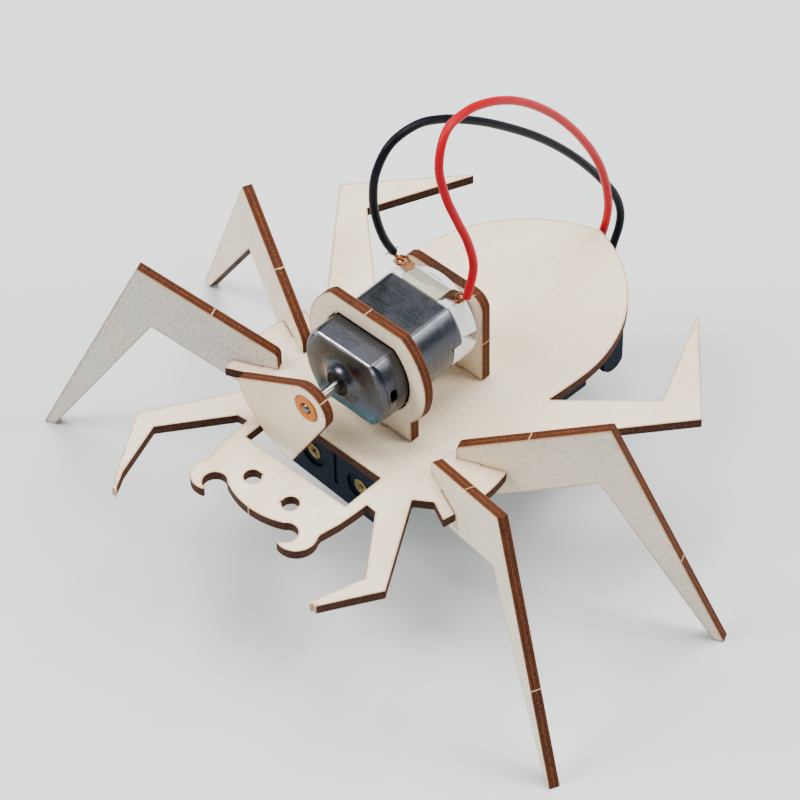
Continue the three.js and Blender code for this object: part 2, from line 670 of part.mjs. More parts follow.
const holder = new THREE.Group();
holder.position.set(HOLDER.x, HOLDER.y, 0);
holder.rotation.z = THREE.MathUtils.degToRad(HOLDER.yaw);
body.add(holder);
add(holder, 'battery_holder', holderTray(), blackPlastic());
const foam = block(-12, 4, HOLDER.top + SEAT_GAP, 12, 54, -PLY - SEAT_GAP);
add(holder, 'foam_tape', foam, material(0xf2f0ea, 0.9));
const [rightCell, leftCell] = cellPlaces();
add(holder, 'battery_left', cell(leftCell, true), material(0x2f6f5a, 0.35));
add(holder, 'battery_right', cell(rightCell, false), material(0x2f6f5a, 0.35));
add(holder, 'front_spring', contactSpring(rightCell, HOLDER_WALL + 0.45, 3.2), steel());
add(holder, 'rear_spring', contactSpring(leftCell, HOLDER.length - HOLDER_WALL - 4.05, 3.6), steel());
const [rightContact, leftContact] = contactPlaces();
add(holder, 'front_rivet_left', rivet(leftContact), brass());
add(holder, 'front_rivet_right', rivet(rightContact), brass());
// A flat contact against an end wall, from x0 to x1 and y0 to y1.
function contact(x0, x1, y0, y1) {
  return block(x0, y0, CELL_Z - 3.8, x1, y1, CELL_Z + 3.8);
}

const frontInside = HOLDER_WALL + 0.06;
const rearInside = HOLDER.length - frontInside;
const sheet = 0.34;
add(holder, 'front_contact_link', contact(-11.2, 11.2, frontInside, frontInside + sheet), brass());
add(holder, 'rear_contact_left', contact(3.4, 11.2, rearInside - sheet, rearInside), brass());
add(holder, 'rear_contact_right', contact(-11.2, -3.4, rearInside - sheet, rearInside), brass());

add(body, 'red_wire', wire(RED_WIRE), material(0xc8202c, 0.4));
add(body, 'black_wire', wire(BLACK_WIRE), material(0x14151a, 0.4));
add(body, 'red_wire_strands', bareStrands(1, RED_WIRE[0]), copper());
add(body, 'black_wire_strands', bareStrands(-1, BLACK_WIRE[0]), copper());

export default robot;
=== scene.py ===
"""Looks of the plywood spider walking kit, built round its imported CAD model. The row's frame, in metres.

Outlines are worked out in millimetres in the body's own frame: x to the spider's left, y to the tail,
z up from the body's top face. row() takes them to the row's frame."""

import math

import bmesh
import bpy
import numpy as np
from mathutils import Matrix, Vector, geometry, noise


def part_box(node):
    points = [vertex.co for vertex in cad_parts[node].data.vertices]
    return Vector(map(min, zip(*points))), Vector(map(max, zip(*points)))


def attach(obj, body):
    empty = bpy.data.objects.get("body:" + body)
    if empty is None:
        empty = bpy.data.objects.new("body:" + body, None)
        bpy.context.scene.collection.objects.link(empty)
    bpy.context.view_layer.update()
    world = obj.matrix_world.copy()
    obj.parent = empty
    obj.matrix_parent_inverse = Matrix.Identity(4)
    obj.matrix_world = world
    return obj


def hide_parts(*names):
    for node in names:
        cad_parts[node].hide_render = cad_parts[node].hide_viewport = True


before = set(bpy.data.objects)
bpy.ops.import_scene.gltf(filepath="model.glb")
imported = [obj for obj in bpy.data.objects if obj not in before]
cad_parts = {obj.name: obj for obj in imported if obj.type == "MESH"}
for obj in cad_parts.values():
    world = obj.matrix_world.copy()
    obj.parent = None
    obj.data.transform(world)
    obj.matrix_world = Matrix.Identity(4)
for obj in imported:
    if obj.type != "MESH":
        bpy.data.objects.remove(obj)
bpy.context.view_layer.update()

# Driving dimensions, in millimetres of the body's frame

MM = 0.001
PLY = 2.0
TAIL_Y = 56.8
PLATE_LOW, PLATE_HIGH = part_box("body_plate")
CAN_LOW, CAN_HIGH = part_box("motor_can")
ORIGIN = Vector(((CAN_LOW.x + CAN_HIGH.x) / 2, PLATE_HIGH.y - TAIL_Y * MM, PLATE_HIGH.z))
PLATE_TOP = ORIGIN.z / MM

AXIS_Z = 13.55
CAN_RADIUS = 10.05
CAN_FLAT = 7.55
CAN_FRONT = -12.0
CAN_REAR = 7.5
CAN_TOP = AXIS_Z + CAN_FLAT
FRONT_BRACKET_Y = -6.17
REAR_BRACKET_Y = 13.36
WEIGHT_Y = -21.45
WIRE_DIAMETER = 1.6
CREASE = 38
LEAST_TURN = 20


def row(x, y, z):
    """A point of the body's frame, in millimetres, as a point of the row's frame, in metres."""
    return ORIGIN + Vector((x, y, z)) * MM


def cos_sin(degrees):
    return math.cos(math.radians(degrees)), math.sin(math.radians(degrees))


def toward(azimuth, elevation):
    """The unit vector out from the middle, at an azimuth from the front and an elevation, in radians."""
    level = math.cos(elevation)
    return Vector((math.sin(azimuth) * level, -math.cos(azimuth) * level, math.sin(elevation)))


def add_object(name, data):
    made = bpy.data.objects.new(name, data)
    bpy.context.scene.collection.objects.link(made)
    return made


# Camera, at the photograph's viewing angle

CAMERA_AZIMUTH = math.radians(44.36)
CAMERA_ELEVATION = math.radians(47.14)
CAMERA_ROLL = math.radians(-1.39)
CAMERA_DISTANCE = 661.5
CAMERA_TARGET = (1.88, 0, 0)
CAMERA_LENS = 166.2


def add_camera():
    back = toward(CAMERA_AZIMUTH, CAMERA_ELEVATION)
    level = Vector((0, 0, 1)).cross(back).normalized()
    rise = back.cross(level)
    right = level * math.cos(CAMERA_ROLL) + rise * math.sin(CAMERA_ROLL)
    up = back.cross(right)
    data = bpy.data.cameras.new("camera")
    data.lens = CAMERA_LENS
    data.sensor_width = 36
    data.clip_start = 0.01
    data.clip_end = 20
    camera = add_object("camera", data)
    turn = Matrix((right, up, back)).transposed().to_4x4()
    camera.matrix_world = Matrix.Translation(row(*CAMERA_TARGET) + back * CAMERA_DISTANCE * MM) @ turn
    bpy.context.scene.camera = camera


add_camera()


# Shader building


class Shader:
    """A material and short ways to add nodes to it."""

    def __init__(self, name):
        self.material = bpy.data.materials.new(name)
        self.material.use_nodes = True
        self.tree = self.material.node_tree
        self.surface = self.tree.nodes["Principled BSDF"]

    def node(self, kind, inputs=(), **settings):
        made = self.tree.nodes.new(kind)
        for name, value in settings.items():
            setattr(made, name, value)
        for name, value in dict(inputs).items():
            self.put(made.inputs[name], value)
        return made

    def put(self, socket, value):
        if isinstance(value, bpy.types.NodeSocket):
            self.tree.links.new(value, socket)
        else:
            socket.default_value = value

    def set(self, **values):
        for name, value in values.items():
            self.put(self.surface.inputs[name.replace("_", " ")], value)

    def attribute(self, name, output="Fac"):
        return self.node("ShaderNodeAttribute", attribute_name=name).outputs[output]

    def place(self, scale, vector=None):
        """Object coordinates in millimetres (or the given vector), times scale along each axis."""
        if vector is None:
            vector = self.node("ShaderNodeTexCoord").outputs["Object"]
            scale = [s / MM for s in scale]
        made = self.node("ShaderNodeVectorMath", {0: vector, 1: scale}, operation="MULTIPLY")
        return made.outputs[0]

    def noise(self, vector, detail=3.0, roughness=0.55, distortion=0.0):
        values = {"Vector": vector, "Scale": 1.0, "Detail": detail}
        values |= {"Roughness": roughness, "Distortion": distortion}
        return self.node("ShaderNodeTexNoise", values).outputs["Fac"]

    def remap(self, value, low, high, to_low=0.0, to_high=1.0):
        values = {"Value": value, "From Min": low, "From Max": high, "To Min": to_low, "To Max": to_high}
        made = self.node("ShaderNodeMapRange", values, interpolation_type="SMOOTHSTEP")
        return made.outputs["Result"]

    def math(self, operation, a, b=0.0):
        return self.node("ShaderNodeMath", {0: a, 1: b}, operation=operation).outputs[0]

    def mix(self, factor, a, b):
        made = self.node("ShaderNodeMix", data_type="RGBA")
        for index, value in ((0, factor), (6, a), (7, b)):
            if isinstance(value, tuple):
                value = (*value, 1.0)
            self.put(made.inputs[index], value)
        return made.outputs[2]

    def bump(self, height, distance, strength):
        values = {"Height": height, "Distance": distance * MM, "Strength": strength}
        made = self.node("ShaderNodeBump", values)
        self.put(self.surface.inputs["Normal"], made.outputs[0])


# Materials

BURN_HALO = (0.42, 0.22, 0.10)
RAW_WOOD = (0.66, 0.47, 0.29)
# Painted highlight: the light steel laid along the can's top front edge.
EDGE_HIGHLIGHT_STEEL = (0.5, 0.5, 0.52)


def wood_face():
    """The birch face of the sheet: fine pores along the grain, soft mottling, smoke by the cut, and a painted
    grey shade on the legs' faces.
    """
    s = Shader("birch_face")
    rim, mark, figure_and_shade = (s.attribute(name) for name in ("rim", "mark", "figure_and_shade"))
    grain = s.attribute("grain", "Vector")
    streak = s.noise(s.place((0.07, 1.5, 1.0), grain), detail=4.0, roughness=0.6, distortion=0.25)
    pore = s.noise(s.place((0.6, 4.6, 1.0), grain), detail=2.0, roughness=0.45)
    fibre = s.noise(s.place((0.9, 9.0, 1.0), grain), detail=2.0, roughness=0.6)
    cloud = s.noise(s.place((0.03, 0.09, 1.0), grain), detail=3.0)
    stain = s.noise(s.place((0.045, 0.06, 1.0), grain), detail=2.0, distortion=0.6)
    color = s.mix(s.remap(cloud, 0.3, 0.7), (0.84, 0.69, 0.505), (0.91, 0.785, 0.61))
    color = s.mix(s.remap(streak, 0.35, 0.75, 0.0, 0.45), color, (0.74, 0.58, 0.40))
    # Painted shade: the legs' faces are greyed by figure, most on the legs that the light leaves darkest.
    color = s.mix(s.remap(figure_and_shade, 0.3, 0.95, 0.0, 0.75), color, (0.60, 0.595, 0.56))
    speckle = s.math("MULTIPLY", s.remap(pore, 0.50, 0.66), figure_and_shade)
    color = s.mix(s.math("MULTIPLY", speckle, 0.75), color, (0.40, 0.32, 0.235))
    color = s.mix(s.remap(fibre, 0.52, 0.78, 0.0, 0.22), color, (0.97, 0.88, 0.73))
    color = s.mix(s.remap(stain, 0.58, 0.74, 0.0, 0.4), color, (0.74, 0.52, 0.28))
    ragged = s.noise(s.place((1.3, 1.3, 1.0), grain), detail=3.0)
    reach = s.remap(ragged, 0.25, 0.75, 0.22, 0.75)
    smoke = s.math("SUBTRACT", 1.0, s.math("DIVIDE", rim, reach))
    smoke = s.remap(smoke, 0.0, 1.0, 0.0, 0.72)
    smoke = s.math("MULTIPLY", smoke, s.remap(mark, 0.9, 0.6))
    color = s.mix(smoke, color, BURN_HALO)
    s.set(Base_Color=color, Roughness=s.remap(pore, 0.3, 0.8, 0.58, 0.8), Specular_IOR_Level=0.35)
    height = s.math("SUBTRACT", s.math("MULTIPLY", fibre, 0.3), s.math("MULTIPLY", pore, 1.0))
    s.bump(s.math("MULTIPLY", height, s.math("ADD", figure_and_shade, 0.25)), 0.12, 0.8)
    return s.material


def wood_edge():
    """The laser's charred edge: plies between dark glue lines, flecked with charring, raw at the break marks,
    and near black where the rim is marked for laser burning or painted shade.
    """
    s = Shader("burnt_edge")
    run, ply, mark, char_and_shade = (s.attribute(name) for name in ("run", "ply", "mark", "char_and_shade"))
    along = s.node("ShaderNodeCombineXYZ", {"X": run, "Y": s.math("MULTIPLY", ply, PLY)}).outputs[0]
    patch = s.noise(s.place((0.22, 0.5, 1.0), along), detail=3.0)
    fleck = s.noise(s.place((3.0, 6.0, 1.0), along), detail=3.0, roughness=0.7)
    fibre = s.noise(s.place((0.8, 11.0, 1.0), along), detail=2.0)
    stripe = s.noise(s.place((4.5, 0.5, 1.0), along), detail=2.0)
    centre = s.math("ABSOLUTE", s.math("SUBTRACT", ply, 0.5))
    core = s.remap(centre, 0.3, 0.05, 0.35, 0.85)
    glue = s.math("MULTIPLY", s.remap(centre, 0.12, 0.19), s.remap(centre, 0.27, 0.2))
    color = s.mix(s.remap(patch, 0.3, 0.7), (0.045, 0.0105, 0.0045), (0.092, 0.024, 0.009))
    core = s.math("MULTIPLY", core, s.remap(fleck, 0.5, 0.64, 0.0, 0.95))
    color = s.mix(core, color, (0.29, 0.115, 0.045))
    color = s.mix(s.remap(fibre, 0.56, 0.74, 0.0, 0.45), color, (0.19, 0.066, 0.025))
    glue = s.math("MULTIPLY", glue, s.remap(patch, 0.3, 0.6, 0.35, 0.9))
    color = s.mix(glue, color, (0.018, 0.006, 0.0035))
    color = s.mix(s.remap(stripe, 0.52, 0.76, 0.0, 0.6), color, (0.016, 0.005, 0.003))
    border = s.remap(centre, 0.44, 0.495, 0.0, 0.75)
    color = s.mix(border, color, (0.36, 0.165, 0.06))
    # The near-black colour goes where the rim is marked, for laser burning and for painted shade.
    coal_and_shade = s.mix(s.remap(fleck, 0.46, 0.64), (0.009, 0.0035, 0.002), (0.13, 0.06, 0.034))
    color = s.mix(char_and_shade, color, coal_and_shade)
    raw = s.mix(s.remap(fleck, 0.35, 0.65), RAW_WOOD, (0.50, 0.30, 0.16))
    jagged = s.math("ADD", mark, s.math("MULTIPLY", s.math("SUBTRACT", fleck, 0.5), 0.9))
    torn = s.remap(jagged, 0.74, 0.92, 0.0, 0.85)
    color = s.mix(torn, color, raw)
    s.set(Base_Color=color, Roughness=s.remap(patch, 0.3, 0.7, 0.65, 0.9), Specular_IOR_Level=0.12)
    s.bump(s.math("ADD", stripe, fleck), 0.09, 0.7)
    return s.material


def steel(name, color, roughness, brush, tint_and_reflection=(0.3, 0.42, 0.5), tint_and_reflection_amount=0.0, reflection_band=None, highlight_at=None):
    """Drawn or turned metal: fine brush lines, smudges, temper colouring in patches, a painted blue-green
    reflection which fades in down a band of heights, and, on the top flat, a painted highlight along the drawn
    edge at some y."""
    s = Shader(name)
    lines = s.noise(s.place(brush), detail=2.0, roughness=0.6)
    smudge = s.noise(s.place((0.22, 0.22, 0.22)), detail=5.0, roughness=0.65, distortion=0.4)
    speck = s.noise(s.place((2.6, 2.6, 2.6)), detail=2.0)
    dark = tuple(0.84 * c for c in color)
    light = tuple(min(1.0, 1.15 * c) for c in color)
    base = s.mix(s.remap(lines, 0.3, 0.7), dark, light)
    base = s.mix(s.remap(smudge, 0.45, 0.7, 0.0, 0.2), base, dark)
    _, y, z = s.node("ShaderNodeSeparateXYZ", {0: s.place((1.0, 1.0, 1.0))}).outputs
    tint_and_reflection_mix = s.remap(smudge, 0.5, 0.35, 0.0, tint_and_reflection_amount)
    # Painted reflection: with a band of heights, a blue-green cast fades in towards the bottom, standing for
    # the blue surroundings mirrored in the steel.
    if reflection_band:
        tint_and_reflection_mix = s.math("ADD", s.math("MULTIPLY", tint_and_reflection_mix, 0.08), s.remap(z, *reflection_band, 0.0, tint_and_reflection_amount))
    base = s.mix(tint_and_reflection_mix, base, tint_and_reflection)
    base = s.mix(s.remap(speck, 0.62, 0.75, 0.0, 0.2), base, light)
    # Painted highlight: the top flat's front edge is lightened so that its highlight line reads brighter.
    if highlight_at is not None:
        gap = s.math("ABSOLUTE", s.math("SUBTRACT", y, highlight_at))
        wear_and_highlight = s.math("MULTIPLY", s.remap(gap, 0.26, 0.04), s.remap(smudge, 0.62, 0.4, 0.35, 0.9))
        on_top = s.remap(z, PLATE_TOP + AXIS_Z + 5.6, PLATE_TOP + AXIS_Z + 7.0)
        base = s.mix(s.math("MULTIPLY", wear_and_highlight, on_top), base, EDGE_HIGHLIGHT_STEEL)
    rough = s.remap(lines, 0.3, 0.7, roughness - 0.02, roughness + 0.04)
    rough = s.math("ADD", rough, s.remap(smudge, 0.4, 0.7, 0, 0.1))
    s.set(Base_Color=base, Metallic=1.0, Roughness=rough)
    s.bump(s.math("ADD", lines, s.math("MULTIPLY", speck, 0.4)), 0.003, 0.5)
    return s.material


def plastic(name, color, wear_and_highlight, roughness, bump, coat=0.0, shine=0.35, grain=0.9):
    """Moulded plastic: slight colour drift, a fine moulded texture, and rubbed patches."""
    s = Shader(name)
    drift = s.noise(s.place((0.12, 0.12, 0.12)), detail=3.0)
    fine = s.noise(s.place((5.0 * grain, 5.0 * grain, 5.0 * grain)), detail=3.0)
    rub = s.noise(s.place((0.5, 0.9, 0.7)), detail=5.0, roughness=0.7, distortion=0.8)
    shade = tuple(0.86 * c for c in color)
    base = s.mix(s.remap(drift, 0.3, 0.7), shade, color)
    base = s.mix(s.remap(rub, 0.56, 0.75, 0.0, 0.5), base, wear_and_highlight)
    rough = s.remap(fine, 0.3, 0.7, roughness - 0.04, roughness + 0.05)
    rough = s.math("ADD", rough, s.remap(rub, 0.5, 0.75, 0, 0.12))
    s.set(Base_Color=base, Roughness=rough, Coat_Weight=coat, Specular_IOR_Level=shine)
    s.bump(fine, bump, 0.6)
    return s.material


BIRCH = wood_face()
BURNT = wood_edge()
# The can's steel carries painted light: a blue-green reflection low down and a highlight along its top front
# edge.
CAN_STEEL = steel(
    "can_steel", (0.066, 0.069, 0.08), 0.25, (0.1, 9.5, 0.1), (0.03, 0.16, 0.22), 0.75,
    reflection_band=(PLATE_TOP + AXIS_Z - 1.5, PLATE_TOP + AXIS_Z - 8.5), highlight_at=ORIGIN.y / MM + CAN_FRONT + 0.23,
)
BRIGHT_STEEL = steel("bright_steel", (0.17, 0.165, 0.16), 0.24, (0.5, 12.0, 0.5))
CORE_STEEL = steel("core_steel", (0.3, 0.3, 0.32), 0.45, (0.4, 12.0, 0.4))
MAGNET = steel("ferrite", (0.12, 0.115, 0.11), 0.6, (1.0, 1.0, 1.0))
BEARING_STEEL = steel("bearing_steel", (0.012, 0.012, 0.012), 0.42, (2.0, 2.0, 2.0))
BRASS = steel("brass", (0.17, 0.125, 0.05), 0.36, (2.0, 2.0, 2.0), (0.55, 0.38, 0.16), 0.4)
COPPER = steel("copper", (0.5, 0.17, 0.07), 0.27, (3.0, 3.0, 3.0), (0.12, 0.025, 0.012), 0.8)
LUG_COPPER = steel("lug_copper", (0.15, 0.072, 0.036), 0.33, (3.0, 1.0, 3.0), (0.12, 0.035, 0.012), 0.7)
HOLDER_PLASTIC = plastic("holder_plastic", (0.001, 0.007, 0.018), (0.002, 0.011, 0.026), 0.55, 0.02, shine=0.06)
CAP_PLASTIC = plastic("cap_plastic", (0.80, 0.80, 0.81), (0.74, 0.735, 0.72), 0.3, 0.006, coat=0.15)
WINDOW_PLASTIC = plastic("window_plastic", (0.31, 0.31, 0.235), (0.5, 0.49, 0.43), 0.2, 0.01, coat=0.3)
STEP_PLASTIC = plastic("step_plastic", (0.52, 0.49, 0.37), (0.62, 0.59, 0.47), 0.3, 0.01, coat=0.3)
BUSHING_PLASTIC = plastic("bushing_plastic", (0.53, 0.145, 0.012), (0.62, 0.22, 0.03), 0.4, 0.01, shine=0.2)
RED_PLASTIC = plastic("red_insulation", (0.43, 0.0005, 0.009), (0.47, 0.003, 0.014), 0.36, 0.006, shine=0.12)
BLACK_PLASTIC = plastic(
    "black_insulation", (0.0015, 0.003, 0.006), (0.004, 0.007, 0.011), 0.42, 0.006, shine=0.12
)
FOAM = plastic("foam", (0.83, 0.82, 0.78), (0.72, 0.7, 0.65), 0.85, 0.12, grain=0.5)
SLEEVE = plastic("cell_sleeve", (0.02, 0.17, 0.12), (0.05, 0.22, 0.17), 0.25, 0.008, coat=0.3)


# Mesh building


def settle(made, body, nodes=()):
    """Makes an object a piece: it rides on a CAD body and stands for CAD nodes, which it hides."""
    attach(made, body)
    if nodes:
        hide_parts(*nodes)
    return made


def link(name, mesh, materials, body, nodes=(), crease=CREASE):
    """A mesh as a piece."""
    for material in materials:
        mesh.materials.append(material)
    mesh.shade_smooth()
    mesh.set_sharp_from_angle(angle=math.radians(crease))
    return settle(add_object(name, mesh), body, nodes)


def mesh_of(name, points, faces):
    """A mesh from points of the body's frame, in millimetres."""
    mesh = bpy.data.meshes.new(name)
    mesh.from_pydata([row(*p) for p in points], [], [tuple(f) for f in faces])
    mesh.validate()
    return mesh


def solid_of(name, points, faces):
    """A closed mesh, its faces turned outward."""
    mesh = mesh_of(name, points, faces)
    work = bmesh.new()
    work.from_mesh(mesh)
    bmesh.ops.recalc_face_normals(work, faces=work.faces)
    work.to_mesh(mesh)
    work.free()
    return mesh


def wall(upper, lower):
    """Faces between two rings of point numbers."""
    n = len(upper)
    return [(upper[i], upper[(i + 1) % n], lower[(i + 1) % n], lower[i]) for i in range(n)]


def skin(rows, size, closed=False):
    """Faces over rows of points, each row a ring of some size, with a face at both ends unless closed."""
    rings = [range(k * size, (k + 1) * size) for k in range(rows)]
    faces = []
    for here, after in zip(rings, rings[1:] + (rings[:1] if closed else [])):
        faces += wall(here, after)
    if not closed:
        faces += [tuple(reversed(rings[0])), tuple(rings[-1])]
    return faces


def arc(x, y, radius, start, end, steps):
    angles = np.radians(np.linspace(start, end, steps + 1))
    return [(x + radius * math.cos(a), y + radius * math.sin(a)) for a in angles]


def angle_of(x, y):
    return math.degrees(math.atan2(y, x))


def bend(a, b, c, t):
    """The point at t on the curve from a to c that b pulls on."""
    return tuple(a.lerp(b, t).lerp(b.lerp(c, t), t))


def soften(points, radius=0.22):
    """The outline with its corners rounded, as a laser leaves them."""
    points = [Vector(p) for p in points]
    out = []
    for before, here, after in zip(points[-1:] + points[:-1], points, points[1:] + points[:1]):
        inward, outward = (here - before), (after - here)
        room = 0.45 * min(inward.length, outward.length)
        turn = inward.angle(outward, 0.0)
        if math.degrees(turn) < LEAST_TURN or room < 1e-6:
            out.append(tuple(here))
            continue
        cut = min(room, radius * math.tan(turn / 2), radius * 1.5)
        a = here - inward.normalized() * cut
        b = here + outward.normalized() * cut
        out += [bend(a, here, b, t) for t in (0.0, 0.33, 0.67, 1.0)]
    return out


def densify(points, spacing):
    out = []
    for here, after in zip(points, points[1:] + points[:1]):
        here, after = Vector(here), Vector(after)
        steps = max(1, math.ceil((after - here).length / spacing))
        out += [here.lerp(after, k / steps) for k in range(steps)]
    keep = [p for p, q in zip(out, out[1:] + out[:1]) if (p - q).length > 1e-4]
    return np.array(keep, float)


def signed_area(loop):
    x, y = loop[:, 0], loop[:, 1]
    return 0.5 * float(np.sum(x * np.roll(y, -1) - np.roll(x, -1) * y))


def outward(loop):
    """Unit normals that point out of the material, for a counter-clockwise rim or a clockwise hole."""
    run = np.roll(loop, -1, axis=0) - np.roll(loop, 1, axis=0)
    normal = np.stack([run[:, 1], -run[:, 0]], axis=1)
    return normal / np.maximum(np.linalg.norm(normal, axis=1, keepdims=True), 1e-9)


def inside(points, loops):
    hit = np.zeros(len(points), bool)
    for loop in loops:
        after = np.roll(loop, -1, axis=0)
        for (x0, y0), (x1, y1) in zip(loop, after):
            if y0 == y1:
                continue
            crosses = (points[:, 1] > min(y0, y1)) & (points[:, 1] <= max(y0, y1))
            at = x0 + (points[:, 1] - y0) * (x1 - x0) / (y1 - y0)
            hit ^= crosses & (points[:, 0] < at)
    return hit


def rim_distance(points, loops):
    best = np.full(len(points), 1e9)
    for loop in loops:
        start, step = loop, np.roll(loop, -1, axis=0) - loop
        length = np.maximum((step**2).sum(1), 1e-12)
        for a, d, l in zip(start, step, length):
            t = np.clip(((points - a) @ d) / l, 0, 1)
            gap = points - a - t[:, None] * d
            best = np.minimum(best, (gap**2).sum(1))
    return np.sqrt(best)


BEVEL = 0.07
GRID = 1.3
WALL_ROWS = 7


def panel(
    name, loops, axes, node, body="chassis", materials=(BIRCH, BURNT), thickness=PLY, seed=0,
    grain=0.0, figure_and_shade=0.3, marks=(), raw=(), char_and_shade=lambda normal, at: 0.0,
):
    """A flat sheet cut to the loops (the rim, then holes) in u and v. axes are its origin and the
    directions of u, v and thickness w. marks are break marks on its rim, as (u, v), and raw are
    (u, v, reach) of broken ends. grain is the angle of the grain from u, in degrees, figure how strongly
    its pores show and how much painted grey shade its face takes, and char how black its rim is, by
    laser burning and painted shade, from the rim's outward normal and place."""
    loops = [densify(loop, 0.8) for loop in loops]
    loops = [loop if (signed_area(loop) > 0) == (i == 0) else loop[::-1] for i, loop in enumerate(loops)]
    loops = [add_marks(loop, marks) for loop in loops]
    normals = [outward(loop) for loop in loops]
    rims = [loop - normal * BEVEL for loop, normal in zip(loops, normals)]
    edges = []
    for loop in rims:
        start, n = len(edges), len(loop)
        edges += [(start + i, start + (i + 1) % n) for i in range(n)]
    found = geometry.delaunay_2d_cdt([Vector(p) for p in fill_points(rims, normals)], edges, [], 0, 1e-5)
    flat = np.array([tuple(p) for p in found[0]])
    triangles = np.array(found[2])
    triangles = triangles[inside(flat[triangles].mean(axis=1), rims)].tolist()
    home = {old: new for new, olds in enumerate(found[3]) for old in olds}
    count = len(flat)

    uvw = [(*p, w) for w in (0.0, thickness) for p in flat]
    looks = [[gap, ply, 0.0, 0.0, 0.0] for ply in (0.0, 1.0) for gap in rim_distance(flat, rims)]
    faces = [tuple(t[::-1]) for t in triangles] + [tuple(i + count for i in t) for t in triangles]
    start = 0
    for loop, normal in zip(loops, normals):
        n = len(loop)
        length = np.concatenate([[0], np.cumsum(np.linalg.norm(np.diff(loop, axis=0), axis=1))])
        near = mark_strength(loop, marks, raw)
        # Each rim point's blackening: laser burning, and on the legs and rear bracket painted shade.
        burn_and_shade = [char_and_shade(facing, at) for facing, at in zip(normal, loop)]
        previous = [home[start + i] for i in range(n)]
        last = [index + count for index in previous]
        for i in range(n):
            for index in (previous[i], last[i]):
                looks[index][2:] = length[i], near[i], burn_and_shade[i]
        for w in np.linspace(BEVEL, thickness - BEVEL, WALL_ROWS):
            ring = range(len(uvw), len(uvw) + n)
            for i in range(n):
                ripple = 0.025 * noise.noise(Vector((length[i] * 1.7, w * 1.2, seed)))
                ripple += 0.16 * max(near[i] - 0.6, 0.0)
                uvw.append((*(loop[i] + normal[i] * (ripple - 0.03)), w))
                looks.append([0.0, w / thickness, length[i], near[i], burn_and_shade[i]])
            faces += wall(previous, ring)
            previous = ring
        faces += wall(previous, last)
        start += n
    if Matrix(axes[1:]).determinant() < 0:
        faces = [face[::-1] for face in faces]
    origin, u_axis, v_axis, w_axis = (Vector(a) for a in axes)
    mesh = mesh_of(name, [origin + u_axis * u + v_axis * v + w_axis * w for u, v, w in uvw], faces)
    mesh.polygons.foreach_set("material_index", [int(k >= 2 * len(triangles)) for k in range(len(faces))])

    c, k = cos_sin(grain)
    shift = np.random.default_rng(seed).uniform(-400, 400, 2)
    across = [(u * c + v * k + shift[0], v * c - u * k + shift[1], w * 0.2) for u, v, w in uvw]
    vectors = mesh.attributes.new("grain", "FLOAT_VECTOR", "POINT")
    vectors.data.foreach_set("vector", np.array(across, np.float32).ravel())
    values = np.array([[*look, figure_and_shade] for look in looks], np.float32)
    for i, label in enumerate(("rim", "ply", "run", "mark", "char_and_shade", "figure_and_shade")):
        layer = mesh.attributes.new(label, "FLOAT", "POINT")
        layer.data.foreach_set("value", values[:, i].copy())
    return link(name, mesh, materials, body, [node])


def add_marks(loop, marks):
    """The loop with extra points either side of each break mark that lies on it."""
    points = [tuple(p) for p in loop]
    for mark in marks:
        centre = np.array(mark)
        start = np.array(points)
        step = np.roll(start, -1, axis=0) - start
        length = np.maximum((step**2).sum(1), 1e-12)
        t = np.clip(((centre - start) * step).sum(1) / length, 0, 1)
        gap = np.linalg.norm(start + t[:, None] * step - centre, axis=1)
        i = int(gap.argmin())
        if gap[i] > 1.2:
            continue
        unit = step[i] / math.sqrt(length[i])
        foot = start[i] + t[i] * step[i]
        extra = [tuple(foot + unit * d) for d in (-0.22, -0.12, -0.06, 0.06, 0.12, 0.22)]
        points = [p for p in points if np.linalg.norm(np.array(p) - foot) > 0.28]
        gaps = np.linalg.norm(np.array(points) - start[i], axis=1)
        j = int(gaps.argmin())
        ahead = np.dot(np.array(points[j]) - foot, unit)
        at = j + 1 if ahead < 0 else j
        points[at:at] = extra
    return np.array(points)


def mark_strength(loop, marks, raw):
    value = np.zeros(len(loop))
    for u, v in marks:
        gap = np.linalg.norm(loop - (u, v), axis=1)
        near = gap.min()
        if near < 1.2:
            value = np.maximum(value, np.clip(1 - (gap - near) / 0.3, 0, 1))
    for u, v, reach in raw:
        gap = np.linalg.norm(loop - (u, v), axis=1)
        value = np.maximum(value, np.clip((reach - gap) / 0.3, 0, 1))
    return value


def fill_points(rims, normals):
    """The rims' points first, then rows just inside them, then a grid over the rest."""
    everything = np.concatenate(rims)
    rows = [everything]
    facing = np.concatenate(normals)
    for depth in (0.3, 0.75):
        points = everything - facing * depth
        points = points[inside(points, rims)]
        rows.append(points[rim_distance(points, rims) > 0.92 * depth])
    low, high = everything.min(0), everything.max(0)
    gx, gy = np.meshgrid(np.arange(low[0], high[0], GRID), np.arange(low[1], high[1], GRID))
    grid = np.stack([gx.ravel(), gy.ravel()], axis=1)
    grid = grid[inside(grid, rims)]
    rows.append(grid[rim_distance(grid, rims) > 1.1])
    return np.concatenate(rows)


# Plywood outlines

LEG_ANGLE = 23.5
LEG_LAP = 5.0
SLOT_GAP = 0.1
FRONT_ROOT = (17.6, -8.76)
MIDDLE_ROOT = (18.7, -3.6)
THORAX_Y = -6.3
THORAX_RADIUS = 28.45


def on_leg(root, angle, s, n):
    """A point s along a leg's lower line and n across it, as seen from above."""
    c, k = cos_sin(angle)
    return (root[0] + s * c - n * k, root[1] + s * k + n * c)


def leg_slot(root, angle, front_at_rim, rear_at_rim):
    inner, front, rear = LEG_LAP - SLOT_GAP, -SLOT_GAP, PLY + SLOT_GAP
    corners = ((front_at_rim, front), (inner, front), (inner, rear), (rear_at_rim, rear))
    return [on_leg(root, angle, s, n) for s, n in corners]


